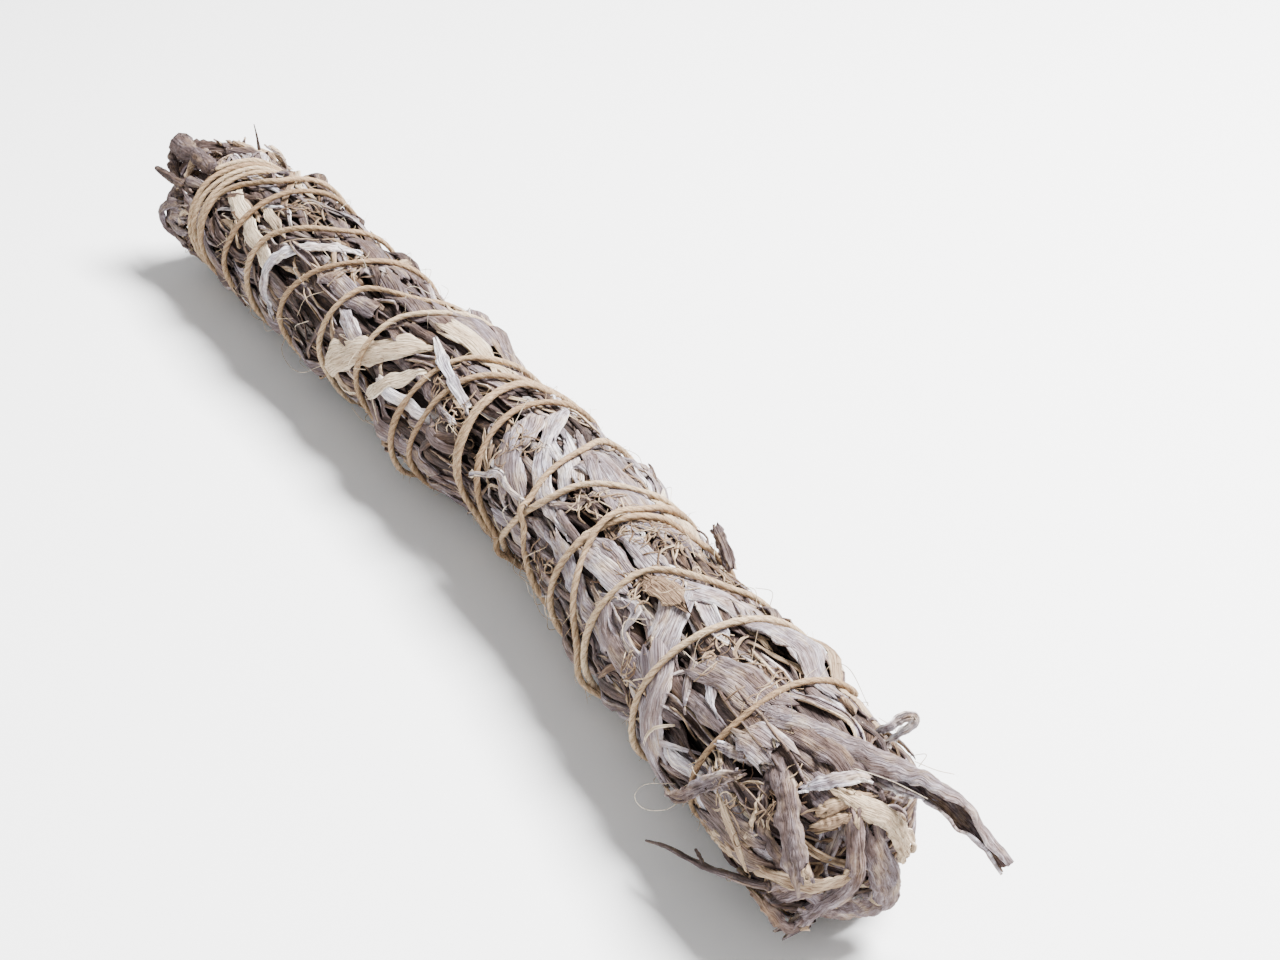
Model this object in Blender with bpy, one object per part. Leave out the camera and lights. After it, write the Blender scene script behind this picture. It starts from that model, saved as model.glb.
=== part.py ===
"""A bundle of dried mitsumata bark and twigs, bound along its length with one wound twine.

The bundle lies along X, on the plane z = 0. Its near end, where the bark folds over, is at +X.
Nineteen round twigs fill the middle, two rows of bark strips lie round them, one behind the other
in each lane, and a single twine is wound to the near end and part of the way back. The ends carry
what sticks out: a long folded strip, a loop, a knob, curls and thin twigs.

Places on the bundle are given as (x, angle, radius): x along it, the angle round its axis from +Y
towards +Z, and the distance from that axis.
"""

import math

import bmesh
import bpy
from mathutils import Vector

MM = 0.001

# Driving dimensions.
AXIS_HEIGHT = 19.5 * MM
BOW_HEIGHT = 7.8 * MM  # how far the bundle bends sideways
BOW_PEAK_X = 28 * MM
BOW_WIDTH = 88 * MM
ORIGIN = Vector((7.54 * MM, 1.8 * MM, 0))  # middle of the whole object's box, under which z is 0

# The bundle is thick and thin by turns. Each side has its outline as (x, height in or out), in mm.
# At the far end the close turns of twine draw everything together into a neck.
OUTLINE_REACH = 46  # how far round the bundle, in degrees, an outline is felt
RIGHT_OUTLINE_ANGLE = 38
RIGHT_OUTLINE = (
    (-150, -2.2), (-133, -3.6), (-125, -3.2), (-119, 0.2), (-115, 2.6), (-109, 1.4), (-100, 1.0), (-90, 0.8),
    (-82, -0.2), (-70, 0.7), (-60, -0.5), (-54, 0.3), (-40, -3.1), (-28, 1.0), (-18, 0.0), (-5, -2.6),
    (6, -3.1), (15, -0.8), (22, -1.2), (32, -1.5), (43, -0.8), (57, -1.9), (70, -1.1), (86, -2.2),
    (96, -1.3), (104, 0.0), (114, 0.4), (121, 1.6), (128, 0.2), (137, -0.6), (145, 0.0),
)
LEFT_OUTLINE_ANGLE = 208
LEFT_OUTLINE = (
    (-150, 0.4), (-140, 0.0), (-132, -1.0), (-118, 0.0), (-105, -1.7), (-85, -1.6), (-66, -2.6), (-60, -1.4),
    (-52, -2.2), (-41, -1.5), (-30, -3.1), (-22, -1.0), (-14, 2.2), (-4, 0.2), (3, -1.0), (11, -3.2),
    (20, -3.2), (30, -2.9), (41, -3.1), (52, -1.8), (64, -0.6), (76, 0.6), (88, 0.4), (97, -2.2),
    (104, 1.0), (110, 0.6), (116, 0.8), (123, -1.2), (130, 1.0), (137, -0.2), (145, -0.2),
)
TOP_OUTLINE_ANGLE = 100
TOP_OUTLINE = ((-150, -1.8), (-132, -2.2), (-120, -0.8), (-112, 0.0))
SIDES = (
    (RIGHT_OUTLINE_ANGLE, RIGHT_OUTLINE), (LEFT_OUTLINE_ANGLE, LEFT_OUTLINE), (TOP_OUTLINE_ANGLE, TOP_OUTLINE),
)

# Twigs inside, in rings of (count, distance from the axis, diameter).
TWIG_RINGS = ((1, 0.0, 4.6 * MM), (6, 4.9 * MM, 3.9 * MM), (12, 9.2 * MM, 3.4 * MM))
NECK_X = -131 * MM
NECK_REACH = 13 * MM
NECK_SQUEEZE = 0.15
TWIG_STATIONS = 6

# Bark strips round the twigs.
LANES = 12
LANE_STEP = 360 / LANES
BARK_RADIUS = 15.3 * MM  # at the middle of a strip's thickness
BARK_THICKNESS = 1.5 * MM
BARK_HALF_ANGLE = 12.9
STATION_STEP = 9.5 * MM
BULGE = 1.5 * MM  # how far bark swells between two turns of twine
UNDERSIDE_BULGE = 4.2 * MM  # the same underneath, where the bundle rests

# Twine. After a whole number of turns it is at TURN_FRONT_ANGLE. WINDING gives the places along the
# bundle, in mm, that it has reached after so many turns. From RETURN_TURN on it comes back over the
# turns that it has laid.
TWINE_DIAMETER = 1.4 * MM
TWINE_RADIUS = 18.3 * MM
TURN_FRONT_ANGLE = 120
RETURN_TURN = 17
WINDING = (
    (0, -137), (1, -134), (2, -131), (3, -127), (3.95, -125), (4.02, -121), (4.1, -112),
    (4.81, -110), (4.95, -106.5), (5.15, -104), (5.8, -95), (5.96, -92.5), (6.13, -78),
    (6.8, -76), (6.98, -67), (7.1, -59.5), (7.83, -52.5), (8.02, -49), (8.14, -34),
    (8.85, -33.5), (9.02, -31), (9.11, -26), (9.86, -10), (10.04, -6), (10.16, -1.5),
    (10.6, -4.5), (10.78, -5.5), (10.9, -1), (11, 1), (11.15, 7.5),
    (11.82, 14.8), (11.93, 13.8), (12.03, 11.2), (12.13, 10), (12.4, 19.8), (12.68, 26.5),
    (12.98, 50), (13.04, 53), (13.16, 60),
    (13.83, 64), (14, 66.5), (14.12, 71), (14.18, 79), (14.87, 82), (15.02, 84.5), (15.16, 98),
    (15.89, 105), (16.05, 108), (16.14, 109), (16.88, 127.5), (17, 129.5),
    (17.12, 129.3), (17.22, 128.8), (17.46, 98), (17.83, 78.5), (17.91, 72.5), (18.01, 68), (18.2, 66),
    (18.85, 49.5), (18.96, 45), (19.08, 42.5), (19.16, 38), (19.81, 27), (19.95, 22.5), (20.06, 20.5),
    (20.13, 20.2), (20.82, 17), (20.93, 15.8), (21.03, 13.2), (21.13, 12), (21.22, 11.6),
)
LAST_TURN = WINDING[-1][0]
POINTS_PER_TURN = 13
CROSSING_LIFT = 2.0 * MM
CROSSING_WIDTH = 2.0 * MM

BARK_GREY = (0.36, 0.31, 0.30, 1)
BARK_PALE = (0.50, 0.43, 0.36, 1)
INNER_BARK = (0.62, 0.50, 0.34, 1)
TWIG_BROWN = (0.27, 0.21, 0.18, 1)
TWINE_TAN = (0.56, 0.41, 0.27, 1)


def clear_scene():
    for old in list(bpy.data.objects):
        bpy.data.objects.remove(old)


def smooth(t):
    """0 below 0, 1 above 1, and an even slope between."""
    t = min(1.0, max(0.0, t))
    return t * t * (3 - 2 * t)


# Shape of the whole bundle.


def axis_y(x):
    return BOW_HEIGHT * math.exp(-(((x - BOW_PEAK_X) / BOW_WIDTH) ** 2))


def height_along(outline, x):
    """The height of one side's outline at x, even between its places."""
    places = [(place * MM, height * MM) for place, height in outline]
    if x <= places[0][0] or x >= places[-1][0]:
        return places[0][1] if x <= places[0][0] else places[-1][1]
    k = max(k for k, (place, _) in enumerate(places) if place <= x)
    (start, low), (end, high) = places[k], places[k + 1]
    return low + (high - low) * smooth((x - start) / (end - start))


def underneath(angle):
    """1 at the bottom of the bundle, and falling to 0 on either side of it."""
    return math.exp(-(((angle % 360 - 270) / 28) ** 2))


def outline(x, angle):
    """How far out of round the bundle is there. Where it rests on the table it is pressed even."""
    total = 0.0
    for side, heights in SIDES:
        turned = (angle - side + 180) % 360 - 180
        total += height_along(heights, x) * math.exp(-((turned / OUTLINE_REACH) ** 2))
    return total * max(0.0, 1 - 3 * underneath(angle))


def outline_under_strip(x, angle):
    """The lowest that the outline is across a strip of bark, so that the twine has room over it."""
    beside = (-BARK_HALF_ANGLE, 0, BARK_HALF_ANGLE)
    return min(outline(x + along * MM, angle + aside) for along in (-4, 0, 4) for aside in beside)


def spot(x, angle, radius):
    """The point at that place on the bundle."""
    turn = math.radians(angle)
    y = axis_y(x) + radius * math.cos(turn)
    return Vector((x, y, AXIS_HEIGHT + radius * math.sin(turn))) - ORIGIN


def radial(angle):
    turn = math.radians(angle)
    return Vector((0, math.cos(turn), math.sin(turn)))


def advance(k):
    """The twine's advance per turn, in mm, between one known place and the next."""
    (turn, place), (next_turn, next_place) = WINDING[k], WINDING[k + 1]
    return (next_place - place) / (next_turn - turn)


def advance_at(k):
    """The advance at a known place, kept level where the twine turns back."""
    if k in (0, len(WINDING) - 1):
        return 0.0
    before, after = advance(k - 1), advance(k)
    return 0.0 if before * after <= 0 else 2 * before * after / (before + after)


def twine_x(turn):
    """How far along the bundle the twine is after that many turns."""
    k = max(k for k, (known, _) in enumerate(WINDING[:-1]) if known <= turn)
    (start_turn, start), (end_turn, end) = WINDING[k], WINDING[k + 1]
    span = end_turn - start_turn
    t = (turn - start_turn) / span
    cubic = (
        (1 + 2 * t) * (1 - t) ** 2 * start
        + t * (1 - t) ** 2 * advance_at(k) * span
        + t * t * (3 - 2 * t) * end
        - t * t * (1 - t) * advance_at(k + 1) * span
    )
    return cubic * MM


def passes(angle):
    """Where along the bundle the twine passes at that angle."""
    share = ((TURN_FRONT_ANGLE - angle) / 360) % 1
    return [twine_x(k + share) for k in range(round(LAST_TURN) + 1) if k + share <= LAST_TURN]


def bulge(x, angle):
    """How far the bark swells out there, between the turns of twine that squeeze it."""
    room = min(abs(x - place) for beside in (-10, 0, 10) for place in passes(angle + beside))
    height = BULGE + (UNDERSIDE_BULGE - BULGE) * underneath(angle)
    if x > 133 * MM and 30 < angle % 360 < 160:
        height = 0.2 * BULGE  # the long fold lies here
    return height * smooth((room - 5.5 * MM) / (5.2 * MM))


def lane_angle(lane, x):
    """The strips run side by side, and wander a little round the bundle."""
    return LANE_STEP * lane - 1 - 3 * math.sin(x / (80 * MM))


# Ways of making a piece.


def material(name, colour, roughness):
    made = bpy.data.materials.new(name)
    made.use_nodes = True
    shader = made.node_tree.nodes["Principled BSDF"]
    shader.inputs["Base Color"].default_value = colour
    shader.inputs["Roughness"].default_value = roughness
    shader.inputs["Metallic"].default_value = 0
    return made


def add_object(name, data, finish, collection):
    data.materials.append(finish)
    made = bpy.data.objects.new(name, data)
    collection.objects.link(made)
    return made


def ribbon(name, points, outward, widths, thickness, finish, collection):
    """A flat strip through the points. outward gives the way that its face looks at each point."""
    rows = len(points) - 1
    sheet = bmesh.new()
    bmesh.ops.create_grid(sheet, x_segments=rows, y_segments=1, size=0.5)
    for vert in sheet.verts:
        row = round((vert.co.x + 0.5) * rows)
        ahead = points[min(row + 1, rows)] - points[max(row - 1, 0)]
        side = outward[row].cross(ahead).normalized()
        face = ahead.cross(side).normalized()
        vert.co = points[row] + side * (2 * vert.co.y * widths[row] / 2) + face * thickness / 2
    bmesh.ops.recalc_face_normals(sheet, faces=sheet.faces[:])
    sheet.normal_update()
    first = sheet.faces[:][0]
    nearest = min(range(rows + 1), key=lambda k: (points[k] - first.calc_center_median()).length)
    if first.normal.dot(outward[nearest]) < 0:
        bmesh.ops.reverse_faces(sheet, faces=sheet.faces[:])
    bmesh.ops.solidify(sheet, geom=sheet.faces[:], thickness=thickness)
    bmesh.ops.recalc_face_normals(sheet, faces=sheet.faces[:])
    for vert in sheet.verts:
        vert.co.z = max(vert.co.z, 0.0)  # bark that meets the table is pressed flat
    mesh = bpy.data.meshes.new(name)
    sheet.to_mesh(mesh)
    sheet.free()
    return add_object(name, mesh, finish, collection)


def rod(name, points, diameters, finish, collection, resolution=1):
    """A round piece through the points, each with its own diameter."""
    line = bpy.data.curves.new(name, "CURVE")
    line.dimensions = "3D"
    line.bevel_depth = 0.5
    line.bevel_resolution = resolution
    line.use_fill_caps = True
    spline = line.splines.new("POLY")
    spline.points.add(len(points) - 1)
    for spot_on_line, point, diameter in zip(spline.points, points, diameters):
        spot_on_line.co = (*point, 1)
        spot_on_line.radius = diameter
    return add_object(name, line, finish, collection)


def even_steps(start, end, step):
    count = max(3, round(abs(end - start) / step))
    return [start + (end - start) * k / count for k in range(count + 1)]


def flowing(places, per_span=3):
    """Points on a smooth curve through the places, given as (x, angle, radius) in mm and degrees."""
    knots = [spot(x * MM, angle, radius * MM) for x, angle, radius in places]
    knots = [2 * knots[0] - knots[1], *knots, 2 * knots[-1] - knots[-2]]
    points = []
    for a, b, c, d in zip(knots, knots[1:], knots[2:], knots[3:]):
        slope, bend = c - a, 2 * a - 5 * b + 4 * c - d
        for k in range(per_span):
            t = k / per_span
            points.append(b + 0.5 * (slope * t + bend * t**2 + (3 * b - a - 3 * c + d) * t**3))
    return [*points, knots[-2]]


# The pieces.


def twigs_inside(finish, collection):
    number = 0
    for count, distance, diameter in TWIG_RINGS:
        for k in range(count):
            number += 1
            start = -137 * MM + 5 * MM * math.sin(3.1 * number)
            end = 142 * MM + 3 * MM * math.sin(1.7 * number)
            points, sizes = [], []
            for x in even_steps(start, end, (end - start) / TWIG_STATIONS):
                angle = 360 / count * k + 11 * math.sin(x / (75 * MM) + count)
                together = 1 - NECK_SQUEEZE * math.exp(-(((x - NECK_X) / NECK_REACH) ** 2))
                points.append(spot(x, angle, distance * together))
                sizes.append(diameter * together * (0.94 + 0.06 * math.sin(x / (31 * MM) + number)))
            rod(f"twig_{number:02d}", points, sizes, finish, collection)


def bark_lane(name, lane, start, end, folds, finish, collection):
    """One strip of bark in its lane. One that folds goes on over the near end and in towards the axis."""
    places = []
    for x in even_steps(start, end, STATION_STEP):
        angle = lane_angle(lane, x)
        places.append((x, BARK_RADIUS + bulge(x, angle) + outline_under_strip(x, angle)))
    if folds:
        brim = places[-1][1]
        for turned in (30, 60, 90):
            turn = math.radians(turned)
            drop = (brim - 8.5 * MM) * (1 - math.cos(turn))
            places.append((end + 5.5 * MM * math.sin(turn), brim - drop))
    points, outward, widths = [], [], []
    for k, (x, radius) in enumerate(places):
        angle = lane_angle(lane, x)
        points.append(spot(x, angle, radius))
        past_end = smooth((x - end) / (5 * MM)) if folds else 0.0
        outward.append((radial(angle) * (1 - past_end) + Vector((past_end, 0, 0))).normalized())
        from_tip = min(k, len(places) - 1 - k)
        taper = (0.62, 0.93)[from_tip] if from_tip < 2 else 1.0
        half = math.radians(BARK_HALF_ANGLE) * taper
        widths.append(2 * radius * math.tan(half))
    ribbon(name, points, outward, widths, BARK_THICKNESS, finish, collection)


def bark_round_the_twigs(grey, pale, collection):
    """Two strips in each lane, that meet at a different place in each."""
    under_long_fold = 4
    behind_knob = 4
    for lane in range(LANES):
        meet = 48 * MM * math.sin(2.4 * lane + 1)
        far_end = -146 * MM + 2.5 * MM * math.sin(5 * lane)
        if lane == behind_knob:
            far_end = -138 * MM
        near_end = 147.5 * MM + 1.5 * MM * math.sin(3 * lane)
        folds = lane % 2 == 0 and lane != under_long_fold
        if lane == under_long_fold:
            near_end = 118 * MM
        far_finish, near_finish = (pale, grey) if lane % 4 == 1 else (grey, grey)
        bark_lane(f"bark_far_{lane + 1:02d}", lane, far_end, meet - 1 * MM, False, far_finish, collection)
        bark_lane(f"bark_near_{lane + 1:02d}", lane, meet + 1 * MM, near_end, folds, near_finish, collection)


def gap_to_first_pass(turn):
    """How far the twine on its way back is from the nearest strand that it laid on the way out."""
    way_out = [twine_x(turn - k) for k in range(1, int(turn) + 1) if turn - k < RETURN_TURN]
    return min(abs(twine_x(turn) - place) for place in way_out)


def twine(finish, collection):
    """One length of twine: out to the near end, then back over itself with a lift at each crossing."""
    points = []
    count = round(LAST_TURN * POINTS_PER_TURN)
    for k in range(count + 1):
        turn = LAST_TURN * k / count
        lift = 0.0
        if turn > RETURN_TURN + 0.1:
            quarter_step = 0.25 / POINTS_PER_TURN
            beside = [min(turn + quarter_step * j, LAST_TURN) for j in range(-4, 5)]
            gap = min(gap_to_first_pass(near_turn) for near_turn in beside)
            lift = CROSSING_LIFT * math.exp(-((gap / CROSSING_WIDTH) ** 2))
        angle = TURN_FRONT_ANGLE - 360 * turn
        points.append(spot(twine_x(turn), angle, TWINE_RADIUS + outline(twine_x(turn), angle) + lift))
    rod("twine", points, [TWINE_DIAMETER] * len(points), finish, collection)


def strip_at(name, places, width, thickness, finish, collection, looks=None):
    """A strip outside the bark, through places on the bundle. looks turns its face from straight out."""
    points = flowing(places)
    centre_line = [Vector((p.x, axis_y(p.x + ORIGIN.x) - ORIGIN.y, AXIS_HEIGHT)) for p in points]
    outward = [looks or (p - c).normalized() for p, c in zip(points, centre_line)]
    last = len(points) - 1
    widths = [width * MM * (0.6 + 0.4 * smooth(4 * min(k, last - k) / last)) for k in range(last + 1)]
    ribbon(name, points, outward, widths, thickness * MM, finish, collection)


def twig_at(name, places, thick, thin, finish, collection):
    points = flowing(places)
    last = len(points) - 1
    sizes = [(thick + (thin - thick) * k / last) * MM for k in range(last + 1)]
    rod(name, points, sizes, finish, collection)


def what_sticks_out(grey, pale, inner, brown, collection):
    strip_at("long_fold", [(121.5, 113, 15.2), (130, 112, 15.4), (135, 108, 17.6), (140, 96, 19.1),
             (149, 70, 19.4), (162, 50, 18.6), (173, 19, 19.2)], 5.6, 1.9, grey, collection)
    strip_at("side_loop", [(141, 47, 19.0), (143, 45, 22.5), (145.5, 41, 24.5), (147, 36, 22.6),
             (145.5, 36, 19.6)], 2.6, 0.7, pale, collection, Vector((1, 0, 0.2)))
    strip_at("side_tab", [(77, 57, 19.6), (82, 55, 20.1), (87, 53, 19.4)], 3.2, 0.9, grey, collection,
             Vector((0, 0.82, -0.57)))
    strip_at("left_curl", [(114, 206, 20.6), (120, 200, 19.9), (127, 183, 20.0), (133, 163, 19.7),
             (137, 141, 19.4)], 3.0, 0.8, grey, collection)
    twig_at("left_twig", [(150.5, 198, 19.6), (140, 196, 22.4), (131, 198, 25.4), (124, 199, 28)],
            1.7, 0.7, brown, collection)
    twig_at("far_knob", [(-140.5, 122, 17.6), (-146, 122, 17.4), (-153, 121, 17.0), (-158.5, 119, 16.4)],
            4.6, 8.0, grey, collection)
    twig_at("far_stub", [(-144, 150, 19.6), (-150, 151, 20.2), (-156, 152, 21)], 2.6, 1.4, brown, collection)
    twig_at("thorn", [(-139, 74, 18.4), (-139.5, 75, 21), (-140, 78, 24.5)], 0.8, 0.3, brown, collection)
    strip_at("end_arc", [(133, 180, 20), (143, 176, 20.2), (151, 168, 18.6), (155.5, 168, 12.5),
             (156, 195, 7.0), (155.6, 262, 4.6)], 3.0, 0.9, inner, collection, Vector((1, -0.6, 0.3)))
    strip_at("front_fold", [(153.5, 118, 17), (155.8, 124, 12.5), (158.2, 150, 7.6), (158.8, 184, 8.6)],
             4.2, 1.0, grey, collection, Vector((1, -0.3, 0.3)))
    twig_at("near_fold_a", [(154.8, 76, 8.4), (158, 65, 2), (158.6, 275, 8.6), (157.4, 240, 14.2),
            (155.4, 222, 19.4)], 2.8, 3.2, grey, collection)
    strip_at("near_fold_b", [(154.6, 33, 8.6), (156, 8, 8.6), (156, 322, 11), (155.4, 302, 15.6),
             (154.4, 286, 17.2)], 4.6, 1.6, grey, collection, Vector((1, 0.1, 0)))
    strip_at("tan_wrap", [(154.2, 66, 11.8), (155.4, 45, 13.2), (155.4, 12, 15.6), (154.4, 342, 17)],
             4.6, 1.0, inner, collection, Vector((1, 0.5, 0.1)))


def main():
    clear_scene()
    collection = bpy.data.collections.new("bundle of mitsumata twigs")
    bpy.context.scene.collection.children.link(collection)
    grey = material("weathered bark", BARK_GREY, 0.85)
    pale = material("pale bark", BARK_PALE, 0.85)
    inner = material("inner bark", INNER_BARK, 0.8)
    brown = material("twig", TWIG_BROWN, 0.9)
    tan = material("twine", TWINE_TAN, 0.95)
    twigs_inside(brown, collection)
    bark_round_the_twigs(grey, pale, collection)
    twine(tan, collection)
    what_sticks_out(grey, pale, inner, brown, collection)


main()
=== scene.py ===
# %% [markdown]
# # A bound bundle of mitsumata twigs
#
# The object is a long bundle of dried bark strips and thin twigs, squeezed by one length of twine.
# It could be sculpted as a lump and painted, but then no strip would have an edge, and the light
# could not fall between them. So every strip is laid here as a sheet of its own, one over another,
# the way a person would build the bundle.

# %% Load the frame
import math

import bmesh
import bpy
import numpy as np
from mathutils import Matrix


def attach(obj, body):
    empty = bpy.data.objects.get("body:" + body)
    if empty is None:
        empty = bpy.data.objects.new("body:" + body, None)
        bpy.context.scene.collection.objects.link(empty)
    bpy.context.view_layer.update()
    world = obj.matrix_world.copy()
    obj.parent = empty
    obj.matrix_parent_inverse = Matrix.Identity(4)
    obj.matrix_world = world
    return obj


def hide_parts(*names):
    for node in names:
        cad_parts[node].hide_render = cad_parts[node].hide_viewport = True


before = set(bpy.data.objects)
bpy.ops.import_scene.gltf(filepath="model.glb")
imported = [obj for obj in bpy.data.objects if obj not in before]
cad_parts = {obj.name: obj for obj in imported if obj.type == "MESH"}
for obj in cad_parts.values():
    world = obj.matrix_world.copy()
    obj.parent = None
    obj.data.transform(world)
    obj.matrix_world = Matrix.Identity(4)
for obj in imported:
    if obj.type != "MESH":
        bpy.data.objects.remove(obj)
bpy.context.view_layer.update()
chance = np.random.default_rng(41)
print("solids in the frame:", len(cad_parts))

# %% [markdown]
# ## Places on the bundle
#
# The real bundle is round, bends a little sideways, and lies along X. A place on it is easiest to
# name as on a rolled-up map: how far along it (in mm), the angle round it (90 is the top), and the
# distance from its middle line. The map could stop at the rims, but the strips fold over both ends,
# so past a rim it goes on over a low dome.

# %% The bundle's middle line and its two domed ends
MM = 0.001
AXIS_HEIGHT = 19.5
ORIGIN = np.array([7.54, 1.8, 0.0])
BOW_HEIGHT, BOW_PEAK_X, BOW_WIDTH = 7.8, 28, 88
NEAR_RIM, FAR_RIM = 147.0, -140.5
DOME_REACH = 21.0
DOME_SHARE = 0.97  # how much of a quarter turn a strip can go over the rim
DOME_CORE = 9.5  # this much of a radius adds nothing to the height of a dome
MM_PER_DEGREE = math.radians(17)  # round the bundle, at 17 mm from its middle line


def middle_y(x):
    return BOW_HEIGHT * np.exp(-(((x - BOW_PEAK_X) / BOW_WIDTH) ** 2))


def spot(x, angle, radius):
    """Places given as (x, angle, radius) in mm and degrees, as points in metres."""
    turn = np.radians(angle)
    x, turn, radius = np.broadcast_arrays(x, turn, radius)
    across = middle_y(x) + radius * np.cos(turn)
    up = AXIS_HEIGHT + radius * np.sin(turn)
    return (np.stack([x, across, up], axis=-1) - ORIGIN) * MM


def over_the_end(along, radius):
    """Bends the map over the dome at either end: x and distance from the middle line."""
    near = np.clip((along - NEAR_RIM) / DOME_REACH, 0, DOME_SHARE) * math.pi / 2
    far = np.clip((FAR_RIM - along) / DOME_REACH, 0, DOME_SHARE) * math.pi / 2
    deep = np.clip(radius - DOME_CORE, 0.5, None)
    x = np.clip(along, FAR_RIM, NEAR_RIM) + deep * np.sin(near) - deep * np.sin(far)
    return x, radius * np.cos(near) * np.cos(far)


print("bundle bends sideways by", round(float(middle_y(BOW_PEAK_X)), 1), "mm")

# %% [markdown]
# ## The camera
#
# The photograph looks down along the bundle from its near end. The lens and the place were found
# from how fast the bundle narrows towards its far end. With a fitted camera, a strip falls on the same
# part of the picture as in the photograph.

# %% Camera
LENS_MM, SENSOR_MM = 57.66, 36
CAMERA_PLACE = (0.3542, -0.1619, 0.2643)
LOOKS_DOWN, LOOKS_ROUND = 32.98, 60.34
camera_data = bpy.data.cameras.new("camera")
camera_data.lens = LENS_MM
camera_data.sensor_width = SENSOR_MM
camera_data.clip_start = 0.01
camera = bpy.data.objects.new("camera", camera_data)
bpy.context.scene.collection.objects.link(camera)
bpy.context.scene.camera = camera
camera.location = CAMERA_PLACE
camera.rotation_euler = (math.radians(90 - LOOKS_DOWN), 0, math.radians(LOOKS_ROUND))
print("camera height:", round(camera.location.z, 3), "m")

# %% [markdown]
# ## Floor and light
#
# The object lies on plain white. A soft light from above, a fainter one from the side and an evenly
# lit room keep the gaps between the strips dark and their upper faces pale, as in the photograph.

# %% Floor and light
PALE = (0.9, 0.9, 0.9, 1)
FLOOR_Z = -0.0002
STUDIO_LIGHT = 0.50


def make_floor():
    sheet = bmesh.new()
    bmesh.ops.create_grid(sheet, x_segments=1, y_segments=1, size=4)
    mesh = bpy.data.meshes.new("floor")
    sheet.to_mesh(mesh)
    sheet.free()
    white = bpy.data.materials.new("floor white")
    white.use_nodes = True
    shader = white.node_tree.nodes["Principled BSDF"]
    shader.inputs["Base Color"].default_value = PALE
    shader.inputs["Roughness"].default_value = 0.9
    mesh.materials.append(white)
    floor = bpy.data.objects.new("floor", mesh)
    floor.location.z = FLOOR_Z
    bpy.context.scene.collection.objects.link(floor)
    return floor


def add_light(name, size, power, place, tilt):
    lamp = bpy.data.lights.new(name, "AREA")
    lamp.size = size
    lamp.energy = power
    holder = bpy.data.objects.new(name, lamp)
    holder.location = place
    holder.rotation_euler = [math.radians(degrees) for degrees in tilt]
    bpy.context.scene.collection.objects.link(holder)


make_floor()
world = bpy.data.worlds.new("studio")
world.use_nodes = True
world.node_tree.nodes["Background"].inputs["Color"].default_value = (1, 1, 1, 1)
world.node_tree.nodes["Background"].inputs["Strength"].default_value = STUDIO_LIGHT
bpy.context.scene.world = world
add_light("key light", 0.45, 80, (0.15, 0.5, 0.95), (-27, 8, 0))
add_light("side light", 0.9, 4, (0.7, -0.5, 0.7), (35, 40, 0))

# %% [markdown]
# ## The finishes
#
# Old mitsumata bark is grey with a lilac tinge, bleached almost white in places, streaked along its
# length, and cream on its inner side. An even colour would look like card. Each strip therefore
# carries six numbers at every point. Three place it in the pattern of streaks, which so follows the
# strip round each bend. The others are its tone, its depth in the bundle, which sets how much painted
# shade it gets, and its nearness to an edge.

# %% Helpers for the finishes


def new_finish(name, roughness):
    finish = bpy.data.materials.new(name)
    finish.use_nodes = True
    shader = finish.node_tree.nodes["Principled BSDF"]
    shader.inputs["Roughness"].default_value = roughness
    shader.inputs["Specular IOR Level"].default_value = 0.25
    return finish, finish.node_tree, shader


def feed(tree, socket, value):
    """Gives a socket a plain value, or joins it to the output of another node."""
    if isinstance(value, (int, float, tuple)):
        socket.default_value = value
    else:
        tree.links.new(value, socket)


def grain_noise(tree, stretch, detail, rough=0.6):
    """A noise pattern stretched along each strip."""
    grain = tree.nodes.new("ShaderNodeAttribute")
    grain.attribute_name = "grain"
    scale = tree.nodes.new("ShaderNodeMapping")
    noise = tree.nodes.new("ShaderNodeTexNoise")
    for node, socket, value in ((scale, "Scale", stretch), (scale, "Vector", grain.outputs["Vector"]),
                                (noise, "Scale", 1), (noise, "Vector", scale.outputs["Vector"]),
                                (noise, "Detail", detail), (noise, "Roughness", rough)):
        feed(tree, node.inputs[socket], value)
    return noise.outputs["Fac"]


def math_node(tree, how, *values, clamp=False):
    node = tree.nodes.new("ShaderNodeMath")
    node.operation = how
    node.use_clamp = clamp
    for socket, value in zip(node.inputs, values):
        feed(tree, socket, value)
    return node.outputs[0]


def colour_ramp(tree, amount, stops):
    ramp = tree.nodes.new("ShaderNodeValToRGB")
    elements = ramp.color_ramp.elements
    for element, (position, colour) in zip(elements, (stops[0], stops[-1])):
        element.position, element.color = position, (*colour, 1)
    for position, colour in stops[1:-1]:
        elements.new(position).color = (*colour, 1)
    tree.links.new(amount, ramp.inputs["Fac"])
    return ramp.outputs["Color"]


def mix_colours(tree, how, amount, first, second):
    mix = tree.nodes.new("ShaderNodeMix")
    mix.data_type = "RGBA"
    mix.blend_type = how
    for socket, value in ((mix.inputs[0], amount), (mix.inputs[6], first), (mix.inputs[7], second)):
        feed(tree, socket, value)
    return mix.outputs[2]


def add_bump(tree, shader, height, depth_mm, strength):
    bump = tree.nodes.new("ShaderNodeBump")
    bump.inputs["Strength"].default_value = strength
    bump.inputs["Distance"].default_value = depth_mm * MM
    tree.links.new(height, bump.inputs["Height"])
    tree.links.new(bump.outputs["Normal"], shader.inputs["Normal"])


print("helpers for finishes:", [f.__name__ for f in (grain_noise, math_node, colour_ramp, mix_colours)])
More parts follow.
